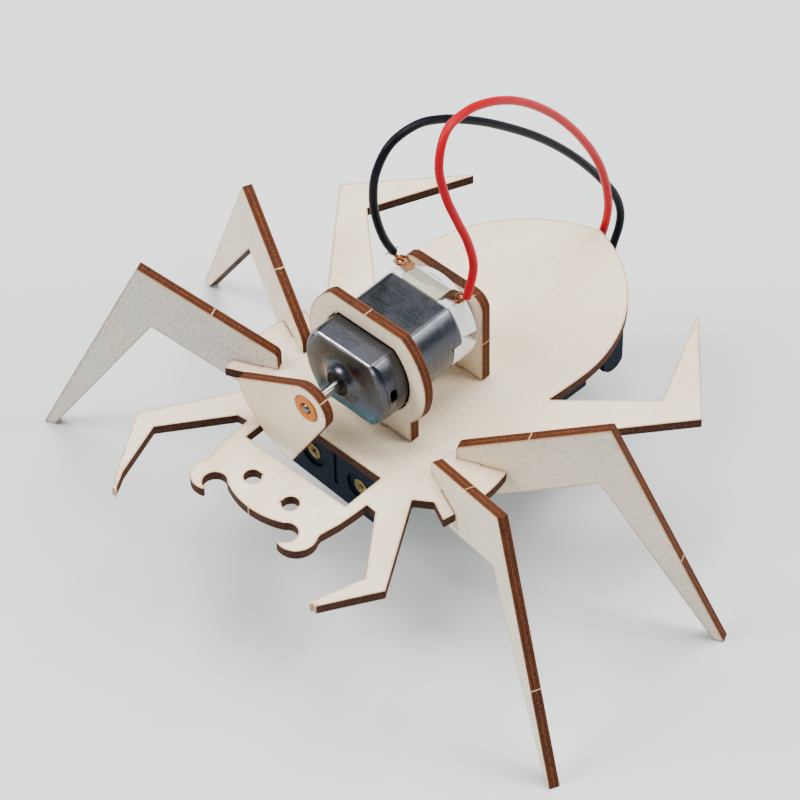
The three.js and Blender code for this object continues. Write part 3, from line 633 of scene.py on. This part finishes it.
def thorax_rim(start, end):
    a = angle_of(start[0], start[1] - THORAX_Y)
    b = angle_of(end[0], end[1] - THORAX_Y)
    return arc(0, THORAX_Y, THORAX_RADIUS, a, b, 14)[1:-1]


def abdomen():
    widest = (22.2, 27.7)
    length = TAIL_Y - widest[1]
    radius = (widest[0] ** 2 + length**2) / (2 * widest[0])
    end = angle_of(radius - widest[0], length)
    tail = arc(widest[0] - radius, widest[1], radius, 0, end, 60)
    return [(21.5, 18.1), (21.75, 20.5), (21.95, 23), (22.12, 25.5), *tail]


def half_body(feeler_tip):
    """Half of the body's outline, from the middle of the chin round to the tip of the tail."""
    front_slot = leg_slot(FRONT_ROOT, -LEG_ANGLE, 10.9, 11.6)
    middle_slot = leg_slot(MIDDLE_ROOT, LEG_ANGLE, 9.6, 9.3)
    chin = arc(0, -36.5 + 15.7, 15.7, -90, -62.5, 16)
    hook_inside = arc(8.75, -36.2, 2.2, 134, -84, 28)
    hook_outside = arc(10.5, -35.3, 3.85, -113, 33, 26)
    return [
        *chin, *hook_inside, *hook_outside,
        (13.65, -32.4), (14.4, -28.6), (14.7, -25.0), (14.8, -22.1), (16.95, -22.3), (26.0, -34.35),
        *feeler_tip,
        (30.65, -34.1), (19.8, -15.9), (23.0, -13.75), (27.0, -15.7),
        *front_slot, *thorax_rim(front_slot[3], middle_slot[0]), *middle_slot,
        (26.6, 4.8), (22.4, 3.0), (21.9, 4.7), (44.85, 32.85), (28.0, 51.9), (27.6, 51.65), (36.45, 31.65),
        *abdomen(),
    ]


def rectangle(x0, y0, x1, y1):
    return [(x0, y0), (x1, y0), (x1, y1), (x0, y1)]


def mirrored(half):
    return [*half, *[(-x, y) for x, y in reversed(half)]]


def eye_hole(side):
    """An eye, with the small nick that the laser's lead-in leaves."""
    hole = arc(side * 4.68, -30.85, 1.56, 0, 350, 34)
    nick = 60 if side < 0 else 205
    at = next(i for i in range(len(hole)) if 360 * i / 35 >= nick)
    c, k = cos_sin(nick)
    hole[at] = (side * 4.68 + 1.95 * c, -30.85 + 1.95 * k)
    return hole


LEFT_TIP = [(22.95, -43.6), (22.6, -44.5), (23.1, -44.9), (23.6, -44.4), (24.1, -44.8), (24.5, -44.2)]
RIGHT_TIP = [
    (22.3, -45.5), (21.45, -47.0), (20.7, -48.4), (20.2, -49.65), (20.65, -49.2), (21.1, -49.45), (21.6, -48.3),
    (22.5, -47.6),
]


def body_loops():
    left = half_body(LEFT_TIP)
    right = half_body(RIGHT_TIP)
    rim = [*left, *[(-x, y) for x, y in reversed(right[1:-1])]]
    slots = ((12.2, -24.85, -15.95), (4.5, -6.27, -4.07), (4.8, 13.26, 15.46))
    holes = [soften(rectangle(-half, front, half, rear)) for half, front, rear in slots]
    return [soften(rim), *holes, eye_hole(1), eye_hole(-1)]


FOOT_Z = -PLATE_TOP


def leg_loop(reach, end_radius, splay):
    def top_at(s):
        return 2.8 + (17.3 - 2.8) * s / 28.4

    under = -PLY - 0.05
    corner = Vector((reach, max(top_at(reach) - end_radius, 0.65)))
    shoulder = Vector((reach + end_radius, top_at(reach + end_radius)))
    peak = Vector((reach, top_at(reach)))
    end = [bend(corner, peak, shoulder, t) for t in np.linspace(0, 1, 7)]
    prong = [Vector(p) for p in ((9.0, -6.3), (3.2, -7.8), (2.6, under))]
    outline = [
        *end, (28.4, 17.3), (50.9 + splay, FOOT_Z), (48.7 + splay, FOOT_Z), (26.6, 2.9),
        *[bend(*prong, t) for t in np.linspace(0, 1, 16)], (LEG_LAP, under), (LEG_LAP, 0.05), (reach, 0.05),
    ]
    return soften(outline, 0.12)


def front_bracket_loops():
    z, radius, top = 13.9, 14.1, 25.1
    low = angle_of(12.6, 8.0 - z)
    high = angle_of(math.sqrt(radius**2 - (top - z) ** 2), top - z)
    half = [(4.4, -1.95), (4.4, 0.05), (10.5, 0.05), (10.5, 5.1), *arc(0, z, radius, low, high, 46)]
    return [soften(mirrored(half)), motor_section(0.2, sharpness=60.0)]


def rear_bracket_loops():
    half = [(4.7, -1.95), (4.7, 0.05), (9.7, 0.05), *arc(9.7 - 3.2, 20.6 - 3.2, 3.2, 0, 90, 18)]
    return [soften(mirrored(half))]


WEIGHT_BORE = 2.65


def weight_loops():
    """The eccentric weight: a round hub and a fan whose corners are rounded."""
    radius, hub, centre, spread, corner = 18.0, 4.75, 225, 27, 1.5

    def rounded(angle, start, end):
        return arc(*around(radius - corner, math.radians(angle)), corner, start, end, 10)

    rim = [
        *arc(0, AXIS_Z, hub, centre - 255, centre - 105, 40),
        *rounded(centre - spread, centre - 75, centre - spread),
        *arc(0, AXIS_Z, radius, centre - spread + 4, centre + spread - 4, 40),
        *rounded(centre + spread, centre + spread, centre + 75),
    ]
    return [rim, arc(0, AXIS_Z, WEIGHT_BORE, 0, 354, 59)]


# The motor's section and what is turned or drawn along its shaft

FLAT_END = math.degrees(math.asin(CAN_FLAT / CAN_RADIUS))
FLAT_ENDS = (FLAT_END, 180 - FLAT_END, 180 + FLAT_END, 360 - FLAT_END)
NEAR_ENDS = [a + d for a in FLAT_ENDS for d in (-4, -2.5, -1.2, 0, 1.2, 2.5, 4)]
SECTION_ANGLES = np.unique(np.round([*np.linspace(0, 360, 96, endpoint=False), *NEAR_ENDS], 3))


def around(radius, a):
    """A point in x and z at an angle round the motor's axis."""
    return (radius * math.cos(a), AXIS_Z + radius * math.sin(a))


def motor_section(grow, sharpness=14.0):
    """The can's outline, a circle with two flats and slightly rounded corners, grown by some clearance."""
    out = []
    for a in np.radians(SECTION_ANGLES):
        lift = max(abs(math.sin(a)), 1e-6)
        round_part, flat_part = CAN_RADIUS + grow, min((CAN_FLAT + grow) / lift, 60.0)
        near = min(round_part, flat_part)
        r = near - math.log(1 + math.exp(-sharpness * abs(round_part - flat_part))) / sharpness
        out.append(around(r, a))
    return out


def ring_at(radius):
    return [around(radius, a) for a in np.radians(SECTION_ANGLES)]


def loft(name, rings, material, body, node, closed=False):
    """Rings of (x, z) points at y, or of (x, z, lag) points that lie lag behind y, joined in turn."""
    points = [(x, y + sum(lag), z) for y, loop in rings for x, z, *lag in loop]
    mesh = solid_of(name, points, skin(len(rings), len(rings[0][1]), closed))
    return link(name, mesh, [material], body, [node])


def turned(name, profile, material, node, steps):
    """A solid on the rotor, turned about the motor's axis from (radius, y) pairs: from the axis and back
    to it, or a closed ring."""
    closed = profile[0] == profile[-1]
    angles = np.radians(np.linspace(0, 360, steps, endpoint=False))
    pairs = profile[:-1] if closed else profile
    rings = [(y, [around(max(radius, 1e-3), a) for a in angles]) for radius, y in pairs]
    return loft(name, rings, material, "rotor", node, closed)


def prism(name, x0, x1, outline):
    """A closed mesh: an outline in y and z, drawn from x0 to x1."""
    points = [(x, y, z) for x in (x0, x1) for y, z in outline]
    return solid_of(name, points, skin(2, len(outline)))


def carve(piece, prisms):
    """Cuts prisms out of a piece, each (x0, x1, outline)."""
    cutters = [add_object("cutter", prism("cutter", *each)) for each in prisms]
    for cutter in cutters:
        modifier = piece.modifiers.new("cut", "BOOLEAN")
        modifier.operation = "DIFFERENCE"
        modifier.solver = "EXACT"
        modifier.object = cutter
    bpy.context.view_layer.update()
    graph = bpy.context.evaluated_depsgraph_get()
    result = bpy.data.meshes.new_from_object(piece.evaluated_get(graph))
    piece.modifiers.clear()
    piece.data = result
    piece.data.set_sharp_from_angle(angle=math.radians(CREASE))
    for cutter in cutters:
        bpy.data.objects.remove(cutter)


# Cords: each centreline as in the part's source, from the motor's terminal to the holder's rear wall

RED_ROUTE = [
    (8.7, 10.4, 23.1), (8.7, 12.1, 29.2), (8.2, 11.3, 35.4), (7.3, 9.5, 41.5), (6.1, 8.0, 47.6),
    (4.6, 8.0, 53.8), (3.0, 11.6, 58.3), (2.1, 17.9, 58.2), (1.7, 23.8, 55.9), (1.4, 29.2, 52.5),
    (1.2, 34.1, 48.4), (1.0, 38.6, 43.8), (0.9, 42.7, 39.0), (0.8, 46.5, 33.8), (0.7, 49.9, 28.5),
    (0.7, 53.0, 22.8), (0.7, 55.5, 17.0), (0.5, 57.3, 10.9), (0.1, 58.4, 4.6), (-0.8, 58.2, -1.7),
    (-1.6, 56.4, -6.5), (-3.1, 52.4, -9.4), (-4.4, 48.0, -10.1), (-4.8, 45.1, -9.9),
]
BLACK_ROUTE = [
    (-8.9, 10.2, 22.8), (-9.1, 8.4, 26.8), (-9.3, 6.8, 32.5), (-9.4, 6.1, 38.4), (-9.3, 6.9, 44.2),
    (-8.7, 10.1, 49.1), (-7.8, 15.7, 50.3), (-6.9, 21.2, 48.4), (-6.1, 26.2, 45.3), (-5.4, 31.0, 41.8),
    (-4.8, 35.5, 38.0), (-4.2, 39.9, 34.0), (-3.6, 44.1, 29.8), (-3.1, 48.0, 25.4), (-2.6, 51.7, 20.8),
    (-2.3, 55.2, 16.0), (-2.1, 58.5, 11.0), (-1.2, 61.8, 5.0), (-0.6, 62.9, 0.2), (-0.4, 62.4, -3.2),
    (0.1, 60.3, -6.0), (1.5, 57.0, -8.2), (4.0, 52.6, -9.8), (6.4, 47.9, -10.1), (7.4, 44.5, -9.9),
]


def smooth_route(points, steps=14):
    """The centripetal curve through the points that the part's source draws."""
    p = [Vector(q) for q in points]
    p = [2 * p[0] - p[1], *p, 2 * p[-1] - p[-2]]
    out = []
    for a, b, c, d in zip(p, p[1:], p[2:], p[3:]):
        t1 = (b - a).length ** 0.5
        t2 = t1 + (c - b).length ** 0.5
        t3 = t2 + (d - c).length ** 0.5
        for k in range(steps):
            t = t1 + (t2 - t1) * k / steps
            part = (t - t1) / (t2 - t1)
            ab, bc, cd = a.lerp(b, t / t1), b.lerp(c, part), c.lerp(d, (t - t2) / (t3 - t2))
            abc, bcd = ab.lerp(bc, t / t2), bc.lerp(cd, (t - t1) / (t3 - t1))
            out.append(abc.lerp(bcd, part))
    return [*out, p[-2]]


def tube(name, routes, radius, material, resolution, nodes=()):
    """Round wires on the chassis, each along a list of points of the body's frame."""
    data = bpy.data.curves.new(name, "CURVE")
    data.dimensions = "3D"
    data.bevel_depth = radius * MM
    data.bevel_resolution = resolution
    data.use_fill_caps = True
    for route in routes:
        spline = data.splines.new("POLY")
        spline.points.add(len(route) - 1)
        for at, p in zip(spline.points, route):
            at.co = (*row(*p), 1)
    data.materials.append(material)
    return settle(add_object(name, data), "chassis", nodes)


def add_wires():
    for name, route, material in (("red", RED_ROUTE, RED_PLASTIC), ("black", BLACK_ROUTE, BLACK_PLASTIC)):
        path = smooth_route(route)
        slot, node = f"{name}_insulation", f"{name}_wire"
        wire = tube(f"wire_{name}", [path], WIRE_DIAMETER / 2, material, 8, [node])


add_wires()


# Plywood pieces


def add_body():
    axes = ((0, 0, 0), (1, 0, 0), (0, 1, 0), (0, 0, -1))
    panel(
        "plywood_body", body_loops(), axes, "body_plate", seed=1, grain=88,
        marks=[(-0.1, -36.35), (-14.4, -27.2), (-22.1, 35)], raw=[(23.4, -44.6, 1.2), (-20.4, -50.2, 2.0)],
        char_and_shade=lambda normal, at: 0.55 - 0.2 * normal[1],
    )


def leg_char_and_shade(normal, at):
    """Legs' rims: a little charring all round, and painted shade that makes the edges that face down blackest.
    """
    return min(1.0, max(0.0, 0.12 - 1.3 * normal[1]))


def add_legs():
    # figure also sets how much painted grey shade each leg's face takes.
    legs = (
        ("front_left", FRONT_ROOT, 1, -1, 0.1, 0.8, 0.0, 64, 0.55, [(14.8, 10.2), (42.7, -13.2)]),
        ("front_right", FRONT_ROOT, -1, -1, 1.9, 0.9, 0.0, 112, 0.85, [(14.4, 10.0), (43.0, -13.3)]),
        ("middle_left", MIDDLE_ROOT, 1, 1, 0.1, 0.8, 0.0, 18, 0.6, [(13.5, 9.8), (42.0, -12.1)]),
        ("middle_right", MIDDLE_ROOT, -1, 1, 0.3, 1.4, 3.6, 75, 0.48, [(13.2, 9.7)]),
    )
    for i, (name, root, side, turn, reach, end_radius, splay, grain, figure_and_shade, marks) in enumerate(legs):
        c, k = cos_sin(LEG_ANGLE * turn)
        axes = ((side * root[0], root[1], 0), (side * c, k, 0), (0, 0, 1), (-side * k, c, 0))
        panel(
            f"plywood_leg_{name}", [leg_loop(reach, end_radius, splay)], axes, f"leg_{name}", seed=10 + i,
            grain=grain, figure_and_shade=figure_and_shade, marks=marks, char_and_shade=leg_char_and_shade,
        )


def rear_soot_and_shade(normal, at):
    """The rear bracket's top edge is dark over the motor's round rear end: soot, and painted shadow of the end
    cap.
    """
    return 0.8 * max(0.0, normal[1]) * max(0.0, 1 - (abs(at[0] - 1.0) / 6.5) ** 4)


def upright(y):
    """The axes of a sheet that stands across the body, its front face at y."""
    return ((0, y, 0), (1, 0, 0), (0, 0, 1), (0, 1, 0))


def add_brackets():
    panel(
        "plywood_front_bracket", front_bracket_loops(), upright(FRONT_BRACKET_Y), "front_motor_bracket",
        seed=20, grain=84, marks=[(-0.2, 25.1)],
    )
    panel(
        "plywood_rear_bracket", rear_bracket_loops(), upright(REAR_BRACKET_Y), "rear_motor_bracket",
        seed=21, grain=80, marks=[(9.7, 9.4)], char_and_shade=rear_soot_and_shade,
    )


def add_weight():
    panel(
        "plywood_weight", weight_loops(), upright(WEIGHT_Y), "eccentric_weight", "rotor", seed=30, grain=40,
        marks=[(3.4, 16.8)],
    )


add_body()
add_legs()
add_brackets()
add_weight()


# Motor


def add_can():
    steel_wall, opening = 0.8, 2.35
    rings = [(CAN_REAR, motor_section(-0.12)), (CAN_REAR - 0.12, motor_section(0))]
    rings += [(y, motor_section(0)) for y in (4, 0, -4, -8)]
    rings += [(CAN_FRONT, front_edge(math.radians(a))) for a in range(0, 91, 15)]
    boss = (
        (0, 6.4), (0.01, 5.8), (0.05, 5.2), (0.14, 4.65), (0.3, 4.15), (0.52, 3.75), (0.8, 3.4), (1.08, 3.16),
        (1.33, 2.98), (1.52, 2.82), (1.64, 2.64), (1.68, 2.48), (1.66, 2.38), (1.55, opening),
    )
    rings += [(CAN_FRONT - rise, ring_at(radius)) for rise, radius in boss]
    inner = CAN_FRONT + steel_wall
    rings += [(inner + 0.1, ring_at(opening)), (inner + 0.1, motor_section(-steel_wall - 1.0))]
    rings += [(inner + 0.8, motor_section(-steel_wall)), (CAN_REAR, motor_section(-steel_wall))]
    can = loft("motor_case", rings, CAN_STEEL, "chassis", "motor_can", closed=True)
    vent = [
        (0.8 * math.cos(a) - 9.8, 14.6 + 0.6 * math.copysign(1, math.sin(a)) + 0.75 * math.sin(a))
        for a in np.radians(np.arange(7.5, 360, 15))
    ]
    notches = [rectangle(5.58, 9.68, 8.5, 14.52)]
    notches += [rectangle(5.2, z - 0.28, 5.8, z + 0.28) for z in (9.68, 14.52)]
    prisms = []
    for side in (1, -1):
        prisms += [side_prism(side, 1.3, notch) for notch in notches]
        prisms.append(side_prism(side, 2.0, vent))
    carve(can, prisms)


def side_prism(side, depth, outline):
    """An outline in y and z, from outside the can's round side to some depth in, for carve()."""
    return (*sorted((side * (CAN_RADIUS - depth), side * (CAN_RADIUS + 1))), outline)


def front_edge(turn):
    """A ring of the can's drawn front edge, at an angle round it: tight on the flats, wide on the sides."""
    out = []
    softness = 14.0 - 9.5 * math.sin(turn)
    for a, (x, z) in zip(SECTION_ANGLES, motor_section(0, sharpness=softness)):
        from_side = abs((a + 90) % 180 - 90)
        k = min(max((FLAT_END + 3 - from_side) / 16, 0), 1)
        edge = 0.8 + 0.75 * k * k * (3 - 2 * k)
        radius = math.hypot(x, z - AXIS_Z)
        scale = 1 - edge * (1 - math.cos(turn)) / radius
        out.append((x * scale, AXIS_Z + (z - AXIS_Z) * scale, edge * (1 - math.sin(turn))))
    return out


def add_end_cap():
    front, shoulder, rear, disc = 7.56, 11.8, 13.1, 8.0
    chamber, floor, seat, seat_end = 5.9, 11.0, 2.02, 12.45
    hollow = ((seat_end, 0.02), (seat_end, seat), (floor, seat), (floor, chamber), (front, chamber))
    skirt = (
        (front, 0.55), (front + 0.22, 0.5), (front + 0.28, 0.18), (front + 0.38, 0.1), (shoulder - 0.5, 0.1),
        (shoulder - 0.15, 0.22), (shoulder, 0.55),
    )
    back = (
        (shoulder, disc), (rear - 0.35, disc), (rear - 0.1, disc - 0.12), (rear, disc - 0.4), (rear, 3.2),
        (rear - 0.5, 2.9), (rear - 0.5, 0.02),
    )
    rings = [(y, ring_at(radius)) for y, radius in hollow]
    rings += [(y, motor_section(-inset)) for y, inset in skirt]
    rings += [(y, ring_at(radius)) for y, radius in back]
    cap = loft("motor_cap", rings, CAP_PLASTIC, "chassis", "motor_end_cap")
    chamfer = [(8.1, 15.5), (13.5, 14.25), (13.5, 9.8)]
    prisms = [(-5.0, 4.6, rectangle(8.3, CAN_TOP - 0.8, 11.3, CAN_TOP + 1))]
    carve(cap, prisms + [side_prism(side, 3.6, chamfer) for side in (1, -1)])
    for name, side in (("left", 1), ("right", -1)):
        add_ear(f"cap_ear_{name}", side, 5.72, 8.4, 9.85, 14.35)
    add_window()


def add_window():
    """The window's block on the cap: pane, post, bar and, from the can's rim up to the pane, a slope."""
    left, right = -4.55, 3.95
    boxes = (
        ("", (left, 8.75, -0.75), (right, 11.2, 0.38), WINDOW_PLASTIC),
        ("_post", (3.9, 8.0, -0.7), (4.2, 11.25, 0.46), STEP_PLASTIC),
        ("_bar", (-4.5, 11.1, -0.7), (4.1, 11.4, 0.46), CAP_PLASTIC),
    )
    for name, low, high, material in boxes:
        link(f"cap_window{name}", rounded_box(low, high, 0.09), [material], "chassis")
    slope = ((7.75, -0.5), (7.75, -0.02), (8.0, 0.1), (8.72, 0.42), (8.86, 0.36), (8.86, -0.5))
    step = prism("cap_window_step", left, right, [(y, CAN_TOP + rise) for y, rise in slope])
    link("cap_window_step", step, [STEP_PLASTIC], "chassis")


def add_ear(name, side, y0, y1, z0, z1):
    """A block of the cap whose outer face follows the can's round side."""
    rows = 8
    points = []
    for y in (y0, y1):
        for z in np.linspace(z0, z1, rows + 1):
            for radius in (CAN_RADIUS - 1.2, CAN_RADIUS - 0.03):
                points.append((side * math.sqrt(radius**2 - (z - AXIS_Z) ** 2), y, z))
    faces = []
    stride = 2 * (rows + 1)
    for a in range(0, 2 * rows, 2):
        faces += [(a, a + 1, a + 3, a + 2), (stride + a, stride + a + 2, stride + a + 3, stride + a + 1)]
        faces += [(a + 1, stride + a + 1, stride + a + 3, a + 3), (a, a + 2, stride + a + 2, stride + a)]
    faces += [(0, stride, stride + 1, 1), (2 * rows, 2 * rows + 1, stride + 2 * rows + 1, stride + 2 * rows)]
    link(name, solid_of(name, points, faces), [CAP_PLASTIC], "chassis")


def rounded_box(low, high, radius):
    """A box's mesh with rounded edges, between two corners whose heights are from the can's top."""
    work = bmesh.new()
    bmesh.ops.create_cube(work, size=1.0)
    low, high = (Vector((x, y, CAN_TOP + rise)) for x, y, rise in (low, high))
    for v in work.verts:
        v.co = Vector(((low[i] + high[i]) / 2 + v.co[i] * (high[i] - low[i])) for i in range(3))
    bmesh.ops.bevel(work, geom=work.edges[:], offset=radius, segments=3, profile=0.5, affect="EDGES")
    for v in work.verts:
        v.co = row(*v.co)
    mesh = bpy.data.meshes.new("box")
    work.to_mesh(mesh)
    work.free()
    return mesh


def add_shaft():
    shaft = (
        (0, -22.0), (0.3, -21.97), (0.6, -21.83), (0.82, -21.6), (0.95, -21.3), (1.0, -20.9), (1.0, 12.2),
        (0.9, 12.3), (0, 12.3),
    )
    bushing = (
        (1.04, -20.9), (1.12, -21.5), (1.3, -21.66), (2.2, -21.7), (2.45, -21.66), (2.57, -21.5), (2.6, -21.3),
        (2.6, -19.1), (2.4, -18.9), (1.04, -18.9), (1.04, -20.9),
    )
    turned("shaft", shaft, BRIGHT_STEEL, "motor_shaft", 40)
    turned("bushing", bushing, BUSHING_PLASTIC, "shaft_bushing", 56)


EYE = (6.8, 10.5)


def add_terminals():
    """Each copper terminal: a strip out of the end cap's corner with a hexagonal eye, and twisted strands."""
    outline = [(4.6, 11.55), (4.0, 10.3), (4.6, 9.0), *arc(*EYE, 1.38, -120, 120, 6)]
    loops = [soften(outline, 0.2), arc(*EYE, 0.72, 0, 345, 23)]
    c, k = cos_sin(7)
    for side, name, color, end in ((1, "left", "red", RED_ROUTE[0]), (-1, "right", "black", BLACK_ROUTE[0])):
        axes = ((0, 0, CAN_TOP + 0.04 - 4.0 * k), (side * c, 0, k), (0, 1, 0), (-side * k, 0, c))
        panel(
            f"lug_{name}", loops, axes, f"terminal_{name}", materials=(LUG_COPPER, LUG_COPPER),
            thickness=0.32, seed=40,
        )
        eye_ring(name, side, 1.12)
        add_strands(color, side, end)


def eye_ring(name, side, radius):
    """The rolled rim of a terminal's eye, six-sided from its crimping."""
    route = []
    for a in np.radians(np.arange(30, 451, 60)):
        x, y = side * EYE[0] + radius * math.cos(a), EYE[1] + radius * math.sin(a)
        route.append((x, y, CAN_TOP + 0.62 + 0.16 * side * math.cos(a)))
    tube(f"eye_{name}", [route], 0.27, LUG_COPPER, 4)


def add_strands(color, side, end):
    """Seven fine strands, twisted out of the insulation, through the eye and back round its rim."""
    rng = np.random.default_rng(50 + side)
    x, y, z = end
    fray = Vector((side * (abs(x) - 0.2), y + 0.1, z - 0.55))
    eye = Vector((side * 6.85, EYE[1], CAN_TOP + 0.55))
    round_eye = ((0.2, 0, 0.3), (-0.3, 0.1, -0.35), (-0.5, -0.7, -0.2), (0.5, -1.3, 0.1), (1.3, -0.6, 0.25))
    spine = [(x, y, z - 0.05), fray, (side * 7.9, 10.4, CAN_TOP + 0.95)]
    spine += [eye + Vector((side * out, back, rise)) for out, back, rise in round_eye]
    path = smooth_route(spine, 8)
    routes = []
    for k in range(7):
        phase = 2 * math.pi * k / 7
        stop = len(path) - int(rng.integers(0, 14))
        route = []
        for i, p in enumerate(path[:stop]):
            turn = phase + i * 0.42
            spread = 0.27 + 0.1 * math.sin(i * 0.3 + k)
            swing = spread * math.cos(turn)
            route.append((p.x + swing * 0.5, p.y + swing, p.z + spread * math.sin(turn)))
        routes.append(route)
    for sway, lift in ((1.1, 0.0), (-1.1, 0.3)):
        flick = [(side * 0.5 * t, sway * t, 0.9 * t * (1 - 0.6 * t) + lift) for t in np.linspace(0, 1.5, 9)]
        routes.append([fray + Vector(p) for p in flick])
    tube(f"strands_{color}", routes, 0.1, COPPER, 3, [f"{color}_wire_strands"])


add_can()
add_end_cap()
add_shaft()
add_terminals()


# Carried-over CAD pieces: each gets its own finish, and the holder's edges are rounded

FINISHES = (
    (HOLDER_PLASTIC, ["battery_holder"]),
    (FOAM, ["foam_tape"]),
    (SLEEVE, ["battery_left", "battery_right"]),
    (BRIGHT_STEEL, ["front_spring", "rear_spring"]),
    (BRASS, ["front_contact_link", "rear_contact_left", "rear_contact_right", "rear_bearing"]),
    (BEARING_STEEL, ["front_bearing"]),
    (CORE_STEEL, ["rotor_core"]),
    (COPPER, ["winding_1", "winding_2", "winding_3", "commutator", "brush_left", "brush_right"]),
    (MAGNET, ["magnet_left", "magnet_right"]),
)
HOLDER_AT = (-1.3, -13.7)
HOLDER_YAW = -2.6
RIVET_X = 6.1
RIVET_Z = -9.9


def in_holder(x, y, z):
    """A point of the holder, in the body's frame."""
    c, k = cos_sin(HOLDER_YAW)
    return (HOLDER_AT[0] + x * c - y * k, HOLDER_AT[1] + x * k + y * c, z)


def add_rivets():
    """Hollow brass rivets in the holder's front wall, their tails split and rolled back."""
    profile = (
        (0.02, 1.1, 0.0), (0.5, 1.08, 0.0), (0.58, 0.5, 0.02), (0.75, 0.3, 0.08), (0.95, 0.16, 0.2),
        (1.15, 0.14, 0.22), (1.35, 0.18, 0.16), (1.5, 0.26, 0.08), (1.6, 0.34, 0.02), (1.62, 0.42, 0.0),
        (1.58, 0.48, 0.0), (1.15, 0.48, 0.0), (1.15, 1.4, 0.0), (0.02, 1.4, 0.0),
    )
    steps, petals = 60, 5
    for side, name in ((1, "left"), (-1, "right")):
        points = []
        for radius, y, wave in profile:
            for i in range(steps):
                a = 2 * math.pi * i / steps
                split = math.cos(petals * a + side) ** 3
                r = radius * (1 + 0.05 * math.sin(3 * a + side) * (wave > 0))
                x, z = side * RIVET_X + r * math.cos(a), RIVET_Z + r * math.sin(a)
                points.append(in_holder(x, y + wave * (1 - split), z))
        mesh = solid_of(f"rivet_{name}", points, skin(len(profile), steps))
        link(f"rivet_{name}", mesh, [BRASS], "chassis", [f"front_rivet_{name}"], 50)


add_rivets()


def finish_cad():
    for material, nodes in FINISHES:
        for node in nodes:
            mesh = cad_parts[node].data
            mesh.materials.clear()
            mesh.materials.append(material)


def round_edges(node, width):
    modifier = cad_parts[node].modifiers.new("rounded", "BEVEL")
    modifier.width = width * MM
    modifier.segments = 2
    modifier.limit_method = "ANGLE"
    modifier.angle_limit = math.radians(40)


finish_cad()
round_edges("battery_holder", 0.18)


# Floor and light


def add_floor():
    s = Shader("floor")
    cloud = s.noise(s.place((0.004, 0.004, 0.004)), detail=3.0)
    color = s.mix(cloud, (0.66, 0.68, 0.70), (0.70, 0.72, 0.74))
    s.set(Base_Color=color, Roughness=0.75, Specular_IOR_Level=0.2)
    mesh = bpy.data.meshes.new("floor")
    reach = 3.0
    mesh.from_pydata([(x, y, 0) for x, y in rectangle(-reach, -reach, reach, reach)], [], [(0, 1, 2, 3)])
    mesh.materials.append(s.material)
    add_object("floor", mesh)


def add_light(name, azimuth, elevation, distance, size, power, color):
    data = bpy.data.lights.new(name, "AREA")
    data.shape = "RECTANGLE"
    data.size = data.size_y = size
    data.energy = power
    data.color = color
    light = add_object(name, data)
    out = toward(math.radians(azimuth), math.radians(elevation))
    light.location = out * distance
    light.rotation_euler = out.to_track_quat("Z", "Y").to_euler()


def add_world():
    world = bpy.data.worlds.new("studio")
    bpy.context.scene.world = world
    world.use_nodes = True
    background = world.node_tree.nodes["Background"]
    background.inputs["Color"].default_value = (0.75, 0.87, 1.0, 1)
    background.inputs["Strength"].default_value = 0.3


add_floor()
add_light("key", -42, 47, 1.3, 0.55, 21, (1.0, 0.985, 0.96))
add_light("side", 126, 38, 1.3, 0.5, 15, (1.0, 0.98, 0.95))
add_light("top", 200, 74, 1.4, 0.8, 28, (1.0, 0.985, 0.95))
add_world()

bpy.context.view_layer.update()
